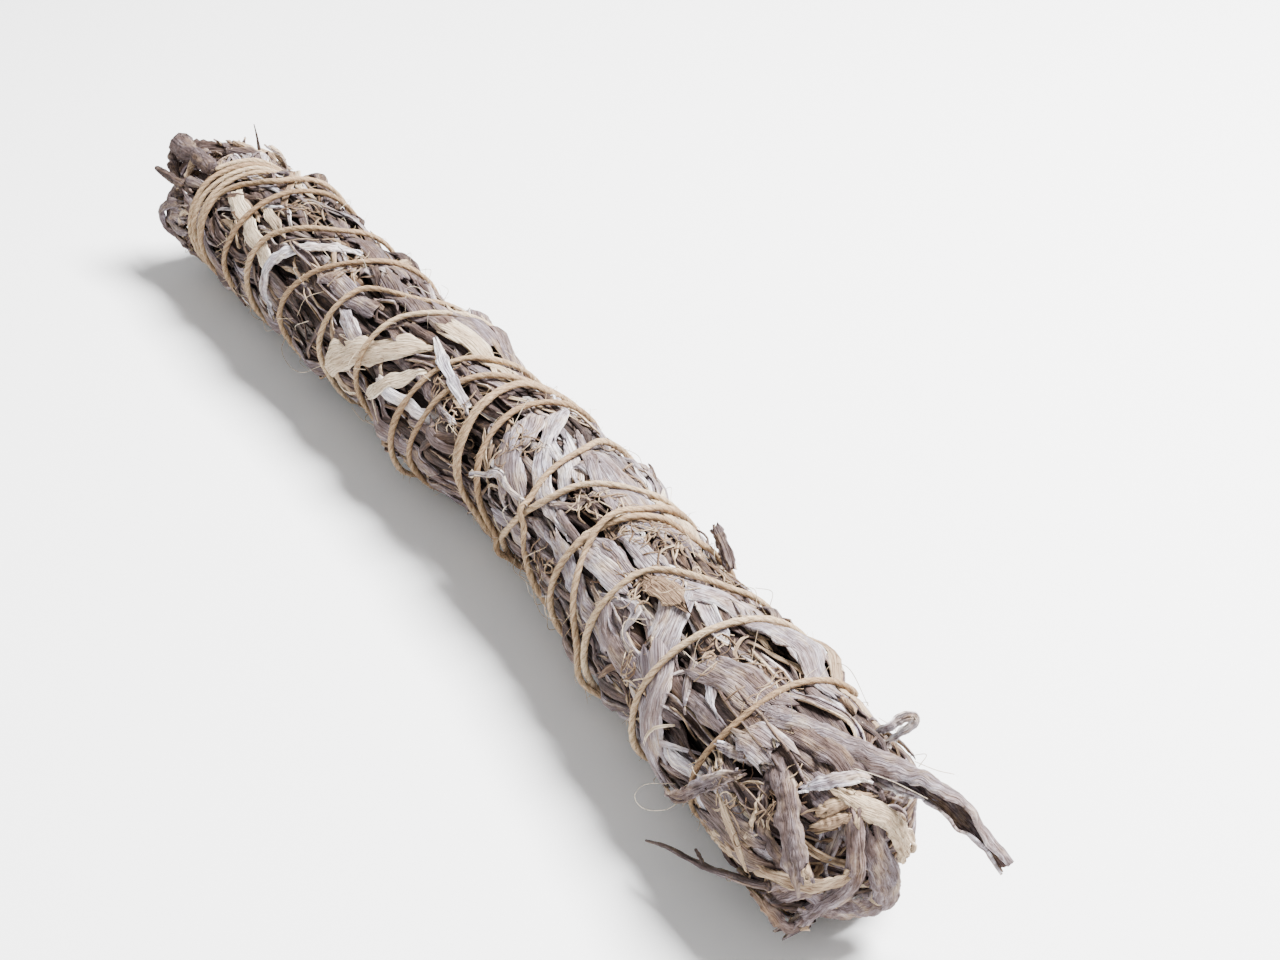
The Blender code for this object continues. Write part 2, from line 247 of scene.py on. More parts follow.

# %% [markdown]
# The three finishes are one finish with other colours. A strip's tone picks its place on a ramp from
# dark to bleached, and streaks and blotches move it up and down. Fine grooves and a few long cracks
# darken it, and painted shade darkens it the deeper it lies in the bundle. Painted textures could do
# this too, but they would have to be fitted to hundreds of strips.

# %% Bark, its inner side, and twine
WEATHERED = (
    (0.0, (0.030, 0.018, 0.015)),
    (0.25, (0.074, 0.048, 0.042)),
    (0.49, (0.142, 0.104, 0.102)),
    (0.67, (0.262, 0.212, 0.225)),
    (0.85, (0.500, 0.455, 0.485)),
    (1.0, (0.800, 0.765, 0.775)),
)
TAN = (
    (0.0, (0.110, 0.062, 0.038)),
    (0.3, (0.300, 0.200, 0.125)),
    (0.6, (0.520, 0.390, 0.262)),
    (0.85, (0.680, 0.550, 0.400)),
    (1.0, (0.780, 0.680, 0.540)),
)
TWINE = (
    (0.0, (0.180, 0.115, 0.065)),
    (0.45, (0.390, 0.255, 0.145)),
    (0.7, (0.600, 0.436, 0.272)),
    (1.0, (0.790, 0.648, 0.456)),
)
TINTS = ((0.36, (1.0, 0.90, 0.80)), (0.5, (1, 1, 1)), (0.64, (0.90, 0.93, 1.0)))
GROOVES = ((0.34, (0.24, 0.18, 0.16)), (0.49, (1, 1, 1)))
CRACKS = ((0.002, (0.16, 0.12, 0.10)), (0.018, (1, 1, 1)))
# Painted shade by depth in the bundle: strips low in the pile are multiplied darker, top strips not at all.
PAINTED_DEPTH_SHADE = ((0.2, (0.06, 0.045, 0.035)), (0.57, (0.38, 0.33, 0.30)), (0.92, (1, 1, 1)))


def strip_finish(name, stops, streak_share, bump_mm, stain=0.0, tinted=False):
    """A finish for strips. stain is how much of the inner side's tan shows in blotches."""
    finish, tree, shader = new_finish(name, 0.82)
    streaks = grain_noise(tree, (0.16, 2.0, 1.0), 8, 0.75)
    hairlines = grain_noise(tree, (0.35, 3.6, 1.0), 4, 0.65)
    blotches = grain_noise(tree, (0.28, 0.6, 1.0), 7, 0.74)
    tints = grain_noise(tree, (0.07, 0.2, 1.0), 3)
    stains = grain_noise(tree, (0.16, 0.35, 1.0), 5, 0.65)
    crack_noise = grain_noise(tree, (0.10, 1.1, 1.0), 2)
    look = tree.nodes.new("ShaderNodeAttribute")
    look.attribute_name = "look"
    parts = tree.nodes.new("ShaderNodeSeparateColor")
    tree.links.new(look.outputs["Color"], parts.inputs["Color"])
    tone, depth_shade, edge = parts.outputs[0], parts.outputs[1], parts.outputs[2]
    moved = math_node(tree, "MULTIPLY_ADD", streaks, streak_share, -0.5 * streak_share)
    blotch = math_node(tree, "MULTIPLY_ADD", blotches, 1.1, -0.55)
    total = math_node(tree, "ADD", tone, math_node(tree, "ADD", moved, blotch))
    total = math_node(tree, "ADD", total, math_node(tree, "MULTIPLY", edge, 0.16), clamp=True)
    stained = colour_ramp(tree, stains, ((0.5, (0, 0, 0)), (0.66, (stain, stain, stain))))
    colour = mix_colours(tree, "MIX", stained, colour_ramp(tree, total, stops), colour_ramp(tree, total, TAN))
    if tinted:
        colour = mix_colours(tree, "MULTIPLY", 1.0, colour, colour_ramp(tree, tints, TINTS))
    off_middle = math_node(tree, "ABSOLUTE", math_node(tree, "SUBTRACT", crack_noise, 0.5))
    # The grooves and cracks are the bark's own marks. The last ramp is painted shade, darker the deeper a
    # strip lies.
    for share, amount, ramp in ((0.75, hairlines, GROOVES), (0.7, off_middle, CRACKS), (1.0, depth_shade, PAINTED_DEPTH_SHADE)):
        colour = mix_colours(tree, "MULTIPLY", share, colour, colour_ramp(tree, amount, ramp))
    tree.links.new(colour, shader.inputs["Base Color"])
    relief = math_node(tree, "ADD", math_node(tree, "MULTIPLY", streaks, 1.6), hairlines)
    relief = math_node(tree, "ADD", relief, math_node(tree, "MULTIPLY", off_middle, 9, clamp=True))
    add_bump(tree, shader, relief, bump_mm, 0.9)
    return finish


bark = strip_finish("weathered bark", WEATHERED, 0.95, 0.28, 0.55, tinted=True)
inner_bark = strip_finish("inner bark", TAN, 0.8, 0.25)
twine_finish = strip_finish("twine", TWINE, 0.8, 0.10)
FINISHES = {
    "weathered_bark": [bark, inner_bark],
    "pale_bark": [bark, inner_bark],
    "inner_bark": [inner_bark],
    "twig": [bark],
    "twine": [twine_finish],
}
print("finishes:", [m.name for m in (bark, inner_bark, twine_finish)])

# %% [markdown]
# ## From places to meshes
#
# A strip, a twig and a fibre are all one grid, bent to its place: flat for a strip, rolled shut for a
# twig. The grids of many pieces can share one mesh, which keeps the scene small. Each grid starts from
# the grid operator and only its points are moved, so its faces and its normals are sound.

# %% Grids that are bent to their places


def grid_of(points, grain, look):
    """Points in columns and rows, each with three numbers of grain and three of look."""
    shape = points.shape[:2]
    grain, look = (np.stack([np.broadcast_to(v, shape) for v in three], -1) for three in (grain, look))
    return {"points": points, "grain": grain, "look": look}


def mesh_of_grids(name, grids, slot, replaced=(), thickness=None, closed=False, finishes=None):
    """One piece made of many grids. closed welds each grid, rolled into a rod, along its seam."""
    finishes = finishes or FINISHES[slot]
    sheet = bmesh.new()
    for grid in grids:
        columns, rows = grid["points"].shape[:2]
        bmesh.ops.create_grid(sheet, x_segments=rows - 1, y_segments=columns - 1, size=0.5)
    mesh = bpy.data.meshes.new(name)
    sheet.to_mesh(mesh)
    sheet.free()
    points = np.concatenate([grid["points"].reshape(-1, 3) for grid in grids])
    mesh.vertices.foreach_set("co", points.astype(np.float32).ravel())
    for key, kind, field in (("grain", "FLOAT_VECTOR", "vector"), ("look", "FLOAT_COLOR", "color")):
        values = np.concatenate([grid[key].reshape(-1, grid[key].shape[-1]) for grid in grids])
        if key == "look":
            values = np.concatenate([values, np.ones((len(values), 1))], axis=1)
        layer = mesh.attributes.new(key, kind, "POINT")
        layer.data.foreach_set(field, values.astype(np.float32).ravel())
    for finish in finishes:
        mesh.materials.append(finish)
    if closed:
        close_seams(mesh)
    mesh.shade_smooth()
    piece = bpy.data.objects.new(name, mesh)
    bpy.context.scene.collection.objects.link(piece)
    if thickness:
        wall = piece.modifiers.new("thickness", "SOLIDIFY")
        wall.thickness = thickness * MM
        wall.offset = -1
        wall.material_offset = len(finishes) - 1
    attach(piece, "root")
    if replaced:
        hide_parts(*replaced)
    print(name, len(grids), "grids,", len(mesh.polygons), "faces")


def close_seams(mesh):
    """Welds the seam and the two tips of each grid that is rolled into a rod."""
    sheet = bmesh.new()
    sheet.from_mesh(mesh)
    bmesh.ops.remove_doubles(sheet, verts=sheet.verts[:], dist=0.000002)
    bmesh.ops.recalc_face_normals(sheet, faces=sheet.faces[:])
    sheet.to_mesh(mesh)
    sheet.free()


print("one piece can hold many grids, each with its own grain and look")

# %% [markdown]
# Nothing in dried bark is straight or even. Two helpers do for that: one makes values that drift along
# a strip, and one draws a smooth curve through a few places. A spline object would do the second, but
# here the points are needed as numbers.

# %% Values that drift, and smooth curves


def smooth_step(t):
    t = np.clip(t, 0, 1)
    return t * t * (3 - 2 * t)


def drifting(count, step, size):
    """Random values that change smoothly, with a new one every so many points."""
    knots = chance.normal(0, size, max(4, int(count / step) + 3))
    where = np.linspace(0, len(knots) - 1.001, count)
    low = where.astype(int)
    share = smooth_step(where - low)
    return knots[low] * (1 - share) + knots[low + 1] * share


def through(knots, count):
    """A smooth curve through the knots, in so many evenly spaced points."""
    knots = np.asarray(knots, float)
    knots = np.concatenate([[2 * knots[0] - knots[1]], knots, [2 * knots[-1] - knots[-2]]])
    where = np.linspace(0, len(knots) - 3.0001, count * 6)
    k = where.astype(int)
    t = (where - k)[:, None]
    a, b, c, d = knots[k], knots[k + 1], knots[k + 2], knots[k + 3]
    curve = b + 0.5 * ((c - a) * t + (2 * a - 5 * b + 4 * c - d) * t**2 + (3 * b - a - 3 * c + d) * t**3)
    far = np.concatenate([[0], np.cumsum(np.linalg.norm(np.diff(curve, axis=0), axis=1))])
    even = np.linspace(0, far[-1], count)
    return np.stack([np.interp(even, far, curve[:, k]) for k in range(curve.shape[1])], axis=1)


print("a curve through three places:", through([(0, 0), (1, 1), (2, 0)], 3).round(2).tolist())

# %% [markdown]
# ## The twine
#
# One plied twine is wound to the near end and part of the way back. Its route is the one that the
# solid twine has: how far along the bundle it is after so many turns. The bark is squeezed under it,
# so it comes before the bark.

# %% The route of the twine
TWINE_RADIUS = 18.2
TWINE_THICKNESS = 1.4
TURN_FRONT_ANGLE = 120
RETURN_TURN = 17
WINDING = (
    (0, -137), (1, -134), (2, -131), (3, -127), (3.95, -125), (4.02, -121), (4.1, -112),
    (4.81, -110), (4.95, -106.5), (5.15, -104), (5.8, -95), (5.96, -92.5), (6.13, -78),
    (6.8, -76), (6.98, -67), (7.1, -59.5), (7.83, -52.5), (8.02, -49), (8.14, -34),
    (8.85, -33.5), (9.02, -31), (9.11, -26), (9.86, -10), (10.04, -6), (10.16, -1.5),
    (10.6, -4.5), (10.78, -5.5), (10.9, -1), (11, 1), (11.15, 7.5),
    (11.82, 14.8), (11.93, 13.8), (12.03, 11.2), (12.13, 10), (12.4, 19.8), (12.68, 26.5),
    (12.98, 50), (13.04, 53), (13.16, 60),
    (13.83, 64), (14, 66.5), (14.12, 71), (14.18, 79), (14.87, 82), (15.02, 84.5), (15.16, 98),
    (15.89, 105), (16.05, 108), (16.14, 109), (16.88, 127.5), (17, 129.5),
    (17.12, 129.3), (17.22, 128.8), (17.46, 98), (17.83, 78.5), (17.91, 72.5), (18.01, 68), (18.2, 66),
    (18.85, 49.5), (18.96, 45), (19.08, 42.5), (19.16, 38), (19.81, 27), (19.95, 22.5), (20.06, 20.5),
    (20.13, 20.2), (20.82, 17), (20.93, 15.8), (21.03, 13.2), (21.13, 12), (21.22, 11.6),
)
known_turns, known_places = np.array(WINDING).T
LAST_TURN = known_turns[-1]


def slopes_between():
    """The advance per turn at each known place, level where the twine turns back."""
    pace = np.diff(known_places) / np.diff(known_turns)
    before, after = pace[:-1], pace[1:]
    onward = before * after > 0
    slopes = np.zeros(len(known_turns))
    slopes[1:-1][onward] = 2 * (before * after)[onward] / (before + after)[onward]
    return slopes


known_slopes = slopes_between()


def twine_x(turn):
    turn = np.asarray(turn, float)
    k = np.clip(np.searchsorted(known_turns, turn, "right") - 1, 0, len(known_turns) - 2)
    span = known_turns[k + 1] - known_turns[k]
    t = (turn - known_turns[k]) / span
    return (
        (1 + 2 * t) * (1 - t) ** 2 * known_places[k]
        + t * (1 - t) ** 2 * known_slopes[k] * span
        + t * t * (3 - 2 * t) * known_places[k + 1]
        - t * t * (1 - t) * known_slopes[k + 1] * span
    )


CROSSING_RISE, CROSSING_WIDTH = 1.75, 2.0
NOTHING_NEAR = 99.0


def crossing_lift(turns):
    """The twine rises on its way back wherever it passes over a strand of the way out."""
    gap = np.full(len(turns), NOTHING_NEAR)
    for earlier in range(1, int(LAST_TURN) + 1):
        laid = (turns > RETURN_TURN + 0.1) & (turns - earlier < RETURN_TURN) & (turns >= earlier)
        gap = np.where(laid, np.minimum(gap, np.abs(twine_x(turns) - twine_x(turns - earlier))), gap)
    return CROSSING_RISE * np.exp(-((gap / CROSSING_WIDTH) ** 2))


print("turns of twine:", round(float(LAST_TURN), 1))

# %% [markdown]
# The bundle is thick and thin by turns, so its two sides, and its top at the far end, carry an
# outline: how far each place along them stands out or in. The twine follows it, and later the bark
# does too. A noise could stand in for it, but then the bundle would not have the shape of the one in
# the photograph.

# %% The outline of the bundle
OUTLINE_REACH = 46
PRESSED_REACH = 28
RIGHT_OUTLINE_ANGLE = 38
RIGHT_OUTLINE = (
    (-150, -2.2), (-133, -3.6), (-125, -3.2), (-119, 0.2), (-115, 2.6), (-109, 1.4), (-100, 1.0), (-90, 0.8),
    (-82, -0.2), (-70, 0.7), (-60, -0.5), (-54, 0.3), (-40, -3.1), (-28, 1.0), (-18, 0.0), (-5, -2.6),
    (6, -3.1), (15, -0.8), (22, -1.2), (32, -1.5), (43, -0.8), (57, -1.9), (70, -1.1), (86, -2.2),
    (96, -1.3), (104, 0.0), (114, 0.4), (121, 1.6), (128, 0.2), (137, -0.6), (145, 0.0),
)
LEFT_OUTLINE_ANGLE = 208
LEFT_OUTLINE = (
    (-150, 0.4), (-140, 0.0), (-132, -1.0), (-118, 0.0), (-105, -1.7), (-85, -1.6), (-66, -2.6), (-60, -1.4),
    (-52, -2.2), (-41, -1.5), (-30, -3.1), (-22, -1.0), (-14, 2.2), (-4, 0.2), (3, -1.0), (11, -3.2),
    (20, -3.2), (30, -2.9), (41, -3.1), (52, -1.8), (64, -0.6), (76, 0.6), (88, 0.4), (97, -2.2),
    (104, 1.0), (110, 0.6), (116, 0.8), (123, -1.2), (130, 1.0), (137, -0.2), (145, -0.2),
)
TOP_OUTLINE_ANGLE = 100
TOP_OUTLINE = ((-150, -1.8), (-132, -2.2), (-120, -0.8), (-112, 0.0))
OUTLINES = (
    (RIGHT_OUTLINE_ANGLE, RIGHT_OUTLINE),
    (LEFT_OUTLINE_ANGLE, LEFT_OUTLINE),
    (TOP_OUTLINE_ANGLE, TOP_OUTLINE),
)


def height_along(heights, along):
    """The height of one side's outline, even between its places."""
    known, height = np.array(heights, float).T
    k = np.clip(np.searchsorted(known, along, "right") - 1, 0, len(known) - 2)
    share = smooth_step((along - known[k]) / (known[k + 1] - known[k]))
    return height[k] + (height[k + 1] - height[k]) * share


def outline(along, angle):
    """How far out of round the bundle is. Where it rests on the table it is pressed even."""
    total = 0.0
    for side, heights in OUTLINES:
        turned = (angle - side + 180) % 360 - 180
        total = total + height_along(heights, along) * np.exp(-((turned / OUTLINE_REACH) ** 2))
    underneath = np.exp(-(((angle % 360 - 270) / PRESSED_REACH) ** 2))
    return total * np.maximum(0.0, 1 - 3 * underneath)


print("outline on the right, at the middle:", round(float(outline(0.0, 38.0)), 1), "mm")

# %% [markdown]
# The twine could be a plain tube, but three plies are easy to see from close by. The grid is rolled
# into a tube whose section has three lobes, and the lobes turn along its length. Loose fibres stand
# off it, because such twine is never smooth.

# %% The twine's line and its three plies
POINTS_PER_TURN = 240
SIDES = 12
PLY_TURN_MM = 7.5
TUCKED_TURNS, TUCKED_DEPTH = 0.14, 2.4  # the last bit of the twine goes in under the bark
TWINE_ABOVE_TABLE = 0.8
LOBE_FLOOR, LOBE_HEIGHT = 0.92, 0.08


def frames_along(line, out):
    """Unit vectors along a line of points, out from the bundle, and across."""
    ahead = np.gradient(line, axis=0)
    ahead /= np.linalg.norm(ahead, axis=1, keepdims=True)
    across = np.cross(out, ahead)
    across /= np.linalg.norm(across, axis=1, keepdims=True)
    return ahead, np.cross(ahead, across), across


def twine_line():
    turns = np.linspace(0, LAST_TURN, int(LAST_TURN * POINTS_PER_TURN))
    angle = TURN_FRONT_ANGLE - 360 * turns
    x = twine_x(turns) + drifting(len(turns), 14, 0.12)
    radius = TWINE_RADIUS + outline(x, angle) + crossing_lift(turns) + drifting(len(turns), 18, 0.10)
    radius = radius - TUCKED_DEPTH * smooth_step((turns - LAST_TURN + TUCKED_TURNS) / TUCKED_TURNS)
    below = np.maximum(0.2, -np.sin(np.radians(angle)))
    radius = np.minimum(radius, (AXIS_HEIGHT - TWINE_ABOVE_TABLE) / below)
    return spot(x, angle, radius), spot(x, angle, radius + 1) - spot(x, angle, radius)


def twine_grid():
    line, out = twine_line()
    ahead, rise, across = frames_along(line, out)
    far = np.concatenate([[0], np.cumsum(np.linalg.norm(np.diff(line, axis=0), axis=1))]) / MM
    around = np.linspace(0, 2 * math.pi, SIDES + 1)[:, None]
    lobes = LOBE_FLOOR + LOBE_HEIGHT * np.abs(np.cos(1.5 * around)) ** 0.8
    fat = 1 + drifting(len(line), 7, 0.07) + drifting(len(line), 50, 0.08)
    ends = np.sqrt(np.clip(np.minimum(far, far[-1] - far) / 0.8, 0, 1))
    radius = TWINE_THICKNESS / 2 * MM * lobes * fat * ends
    twist = around + far * 2 * math.pi / PLY_TURN_MM
    ring = np.cos(twist)[..., None] * across + np.sin(twist)[..., None] * rise
    points = line + ring * radius[..., None]
    points[-1] = points[0]
    # Painted shade on the twine: a depth value below 1 darkens all of it a little and the grooves between the
    # plies more, and the ridges are painted a little lighter in tone.
    ridge = smooth_step((lobes - LOBE_FLOOR) / 0.06)
    tone = 0.50 + drifting(len(line), 90, 0.13) + 0.08 * ridge
    grain = (far * 4, 2 * np.cos(around), 2 * np.sin(around))
    return grid_of(points, grain, (tone, 0.74 + 0.16 * ridge, 0)), line, rise, across, ahead


strand, *strand_frame = twine_grid()
mesh_of_grids("plied_twine", [strand], "twine", ["twine"], closed=True)

# %% [markdown]
# The loose fibres are ribbons less than a tenth of a millimetre wide. A hair system could grow them,
# but it isn't kept when a model is exported, and ribbons are.

# %% The twine's fuzz
FUZZ_FIBRES = 1500
FUZZ_HALF_WIDTH = 0.045


def ribbon_grid(line, across, half_width, tone):
    """A thin flat grid along a line of points."""
    side = np.linspace(-1, 1, 2)[:, None]
    points = line + side[..., None] * across * half_width[:, None]
    seed = chance.uniform(0, 50)
    return grid_of(points, (np.arange(len(line)) + seed * 9, side, seed), (tone, 1.0, 0))


def fuzz_on_twine(line, rise, across, ahead, count):
    """Loose fibres that leave the twine and bend back towards it."""
    grids = []
    for start in chance.integers(10, len(line) - 12, count):
        length = chance.uniform(0.8, 2.6) * MM
        lean = chance.uniform(-1, 1)
        out = rise[start] * math.cos(lean * 1.6) + across[start] * math.sin(lean * 1.6)
        along = ahead[start] * chance.choice([-1, 1]) * chance.uniform(0.4, 1.6)
        t = np.linspace(0, 1, 5)[:, None]
        away = out * (t - 0.4 * t * t) + along * t + chance.normal(0, 0.5, 3) * t * t
        path = line[start] + out * 0.55 * MM + away * length / 1.5
        path[:, 2] = np.maximum(path[:, 2], 0.1 * MM)
        width = FUZZ_HALF_WIDTH * MM * (1 - 0.8 * t[:, 0])
        flat = np.cross(along, out)
        grids.append(ribbon_grid(path, flat / np.linalg.norm(flat), width, chance.uniform(0.5, 1.0)))
    return grids


fuzz = fuzz_on_twine(*strand_frame, FUZZ_FIBRES)
mesh_of_grids("twine_fuzz", fuzz, "twine", thickness=0.05)

# %% [markdown]
# ## How high the bark stands
#
# Bark swells out between two strands of twine and is pressed in under them. The real thing does it by
# itself, and a simulation could too, but slowly. Here a map of the whole bundle carries the room there
# is: how far out bark may reach at each place.

# %% The room for bark
BARK_UNDER_TWINE = 17.85
SWELL = 1.75
BARK_ABOVE_TABLE = 0.12
ANGLE_STEP = 3
map_along = np.arange(-172, 175, 1.0)
map_angles = np.arange(0, 360, ANGLE_STEP)
map_shape = (len(map_along), len(map_angles))


def twine_distance():
    """How far each place on the map is from the nearest strand of twine, along the bundle."""
    nearest = np.full(map_shape, 60.0)
    for turn in np.arange(0, LAST_TURN, ANGLE_STEP / 360):
        column = int(round((TURN_FRONT_ANGLE - 360 * turn) / ANGLE_STEP)) % len(map_angles)
        nearest[:, column] = np.minimum(nearest[:, column], np.abs(map_along - twine_x(turn)))
    return nearest


def lumps():
    """Slow unevenness of the whole bundle."""
    total = np.zeros(map_shape)
    turn = np.radians(map_angles)[None, :]
    for k in range(9):
        wave = chance.uniform(14, 45)
        total += chance.normal(0, 0.28) * np.sin(map_along[:, None] / wave + k + chance.integers(1, 5) * turn)
    return total


BUMP_REACH_ROUND = 28
BUMPS = (
    (-149, 190, 3.0, 8), (-134, 37, -1.4, 7), (-114, 39, 2.4, 6), (-93, 212, -1.6, 9), (-67, 41, 1.1, 6),
    (-41, 42, -1.2, 8), (-36, 198, -1.3, 12), (-22, 47, 1.0, 6), (-14, 214, 1.5, 7), (2, 46, -1.8, 10),
    (23, 212, -1.9, 10), (46, 209, -1.9, 10), (62, 35, -1.0, 8), (73, 35, -0.8, 6), (88, 207, 0.7, 5),
    (103, 206, -1.2, 7), (114, 36, 1.6, 7), (126, 35, 1.5, 6), (138, 36, -1.0, 6), (152, 5, -2.6, 10),
)


def shown_bumps():
    """Swellings and hollows between strands, as (along, angle, height in mm, reach along)."""
    total = np.zeros(map_shape)
    for along, angle, height, reach in BUMPS:
        turned = ((map_angles - angle + 180) % 360 - 180)[None, :]
        away = ((map_along[:, None] - along) / reach) ** 2
        total += height * np.exp(-away - (turned / BUMP_REACH_ROUND) ** 2)
    return total


def room_for_bark():
    room = BARK_UNDER_TWINE + outline(map_along[:, None], map_angles[None, :])
    room = room + SWELL * smooth_step((strand_distance - 0.8) / 5.5)
    swelling = smooth_step((strand_distance - 1.5) / 5)
    room = room + (np.clip(lumps(), -1.0, 0.7) + shown_bumps()) * swelling
    below = np.maximum(0.3, -np.sin(np.radians(map_angles)))
    return np.minimum(room, (AXIS_HEIGHT - BARK_ABOVE_TABLE) / below[None, :])


strand_distance = twine_distance()
room = room_for_bark()
print("room for bark:", round(float(room.min()), 1), "to", round(float(room.max()), 1), "mm from the middle")

# %% [markdown]
# A second map is the pile: how high the strips laid so far stand, so that the next strip lies on them
# and not in them. Testing each new strip against all the others would do it too, but far more slowly.

# %% The pile
pile = np.zeros(map_shape)


def read_map(values, along, angle):
    """Reads a map between its points, all the way round."""
    i = np.clip(along - map_along[0], 0, len(map_along) - 1.001)
    j = (angle / ANGLE_STEP) % len(map_angles)
    i0, j0 = i.astype(int), j.astype(int) % len(map_angles)
    j1 = (j0 + 1) % len(map_angles)
    u, v = i - i0, j - np.floor(j)
    return (
        values[i0, j0] * (1 - u) * (1 - v) + values[i0 + 1, j0] * u * (1 - v)
        + values[i0, j1] * (1 - u) * v + values[i0 + 1, j1] * u * v
    )


def doubled(values):
    """The values with a mean put between each two rows."""
    more = np.repeat(values, 2, axis=0)[:-1]
    more[1::2] = (values[:-1] + values[1:]) / 2
    return more


def add_to_pile(along, angle, top):
    """Raises the pile under a strip. Its points are doubled, so that none of the map is missed."""
    along, angle, top = (doubled(doubled(doubled(v).T)).T for v in (along, angle, top))
    i = np.clip(np.round(along - map_along[0]).astype(int), 0, len(map_along) - 1)
    j = np.round(angle / ANGLE_STEP).astype(int) % len(map_angles)
    np.maximum.at(pile, (i, j), top)


print("places on the map:", pile.size)

# %% [markdown]
# ## Laying one strip
#
# A dried strip curls across its width, some upwards like a gutter and some downwards like a roof, and
# some roll nearly shut. It also twists, its edges are torn, and its ends are ragged or pointed. One
# function does all of that, with a few numbers for each strip, so that hundreds can differ.

# %% What every strip has


def crumpled(columns, rows, row_mm, width, size):
    """Shallow waves that cross a strip, and ridges that run along it."""
    u = np.linspace(0, width, columns)[:, None]
    v = np.arange(rows)[None, :] * row_mm
    waves = 0
    for length in (11, 6, 3.5):
        slant = chance.uniform(-1, 1)
        phase = chance.uniform(0, 6.3) + drifting(rows, 4, 0.6)
        waves = waves + size * length / 11 * np.sin((v + slant * u * 2.5) * 6.28 / length + phase)
    ridges = chance.normal(0, 0.13, (columns, 1)) * (1 + drifting(rows, 5, 0.5))
    return waves + ridges + chance.normal(0, 0.03, (columns, rows))


def tapered(t, tips, reach):
    """The share of its width that a strip has at each place. tips are the shares at its two ends."""
    taper = smooth_step(t / reach) * (1 - tips[0]) + tips[0]
    return np.minimum(taper, smooth_step((1 - t) / reach) * (1 - tips[1]) + tips[1])


def frayed(half, u, step, fray):
    """Half a strip's width, wavering at each edge on its own."""
    return half * (1 + np.where(u < 0, drifting(len(half), step, fray), drifting(len(half), step, fray)))


def ragged(t, u, most, reach):
    """How far the points near the two torn ends slip along the strip."""
    tear = most * chance.normal(0, 1, (2, len(u), 1)) * (np.abs(u) < 0.99)
    return tear[0] * (1 - smooth_step(t / reach)) + tear[1] * (1 - smooth_step((1 - t) / reach))


print("a strip's width at five places:", tapered(np.linspace(0, 1, 5), (0.3, 0.8), 0.2).tolist())

# %% [markdown]
# A strip is first laid on the map, where it takes its height from the pile under it and then raises
# the pile. When all of them are laid, the whole pile is squeezed into the room there is, as the twine
# squeezes it.

# %% A strip on the pile
INNER_RADIUS = 12.8
OVER_TWINE_GAP = 1.15
STRIP_ABOVE_TABLE = 0.06


def lay_strip(path, width, curl, tone, row_mm=2.0, columns=7, thick=0.45, tips=(0.3, 0.3), tilt=0.16,
              crumple=0.18, over_twine=False, fray=0.16, torn=0.35):
    """Lays a strip along a path of (place along, angle). curl bends its edges down, or up if negative."""
    path = np.asarray(path, float) * (1, MM_PER_DEGREE)
    rows = max(6, int(np.linalg.norm(np.diff(path, axis=0), axis=1).sum() / row_mm))
    centre = through(path, rows)
    ahead = np.gradient(centre, axis=0)
    ahead /= np.linalg.norm(ahead, axis=1, keepdims=True) + 1e-9
    across = np.stack([ahead[:, 1], -ahead[:, 0]], axis=1)
    t = np.linspace(0, 1, rows)
    u = np.linspace(-1, 1, columns)[:, None]
    even_half = width / 2 * tapered(t, tips, 0.22)
    half = frayed(even_half, u, 3, fray)
    bend = np.clip(abs(curl) * (1 + drifting(rows, 6, 0.25)), 0.05, 2.9)
    side = half * np.sin(u * bend) / bend
    arch = even_half * (np.cos(u * bend) - np.cos(bend)) / bend
    if curl < 0:
        arch = arch.max(axis=0) - arch
    slip = ragged(t, u, np.minimum(2.5, torn * width), 0.12)
    along = centre[:, 0] + side * across[:, 0] + slip * ahead[:, 0]
    angle = (centre[:, 1] + side * across[:, 1] + slip * ahead[:, 1]) / MM_PER_DEGREE
    stiff = np.hanning(9) / np.hanning(9).sum()
    ground = np.percentile(read_map(pile, along, angle), 80, axis=0)
    bed = np.convolve(np.pad(ground, 4, mode="edge"), stiff, mode="valid")
    lean = drifting(rows, 9, tilt)
    height = bed + arch + lean * side + np.abs(lean * width / 2) * 0.6 + thick
    height = height + drifting(rows, 4, crumple) + crumpled(columns, rows, row_mm, width, crumple)
    add_to_pile(along, angle, height)
    seed = chance.uniform(0, 90)
    grain = (np.arange(rows) * row_mm + seed * 7, u * half + seed, seed)
    return {"along": along, "angle": angle, "height": height, "grain": grain, "tone": tone,
            "edge": np.abs(u) ** 4, "over": over_twine}


def place_strips(strips, top):
    """Turns laid strips into grids: the whole pile is squeezed into the room there is for bark."""
    grids = []
    for strip in strips:
        along, angle, share = strip["along"], strip["angle"], strip["height"] / top
        uneven = outline(along, angle)
        inner = INNER_RADIUS + 0.4 * np.minimum(0, uneven)
        reach = read_map(room, along, angle)
        radius = inner + (reach - inner) * np.minimum(share, 1.0 + 0.25 * (share - 1))
        if strip["over"]:
            clear = np.maximum(radius, TWINE_RADIUS + uneven + OVER_TWINE_GAP)
            weight = smooth_step((4.0 - read_map(strand_distance, along, angle)) / 2.5)
            radius = radius * (1 - weight) + clear * weight
        x, radius = over_the_end(along, radius)
        points = spot(x, angle, radius)
        points[..., 2] = np.maximum(points[..., 2], STRIP_ABOVE_TABLE * MM)
        # Painted shade: the lower a strip lies in the pile, the darker it is painted.
        depth_shade = np.clip((share - 0.25) / 0.6, 0, 1)
        grids.append(grid_of(points, strip["grain"], (strip["tone"], depth_shade, strip["edge"])))
    return grids


print("the pile is squeezed to between", INNER_RADIUS, "mm and", round(float(room.max()), 1), "mm")

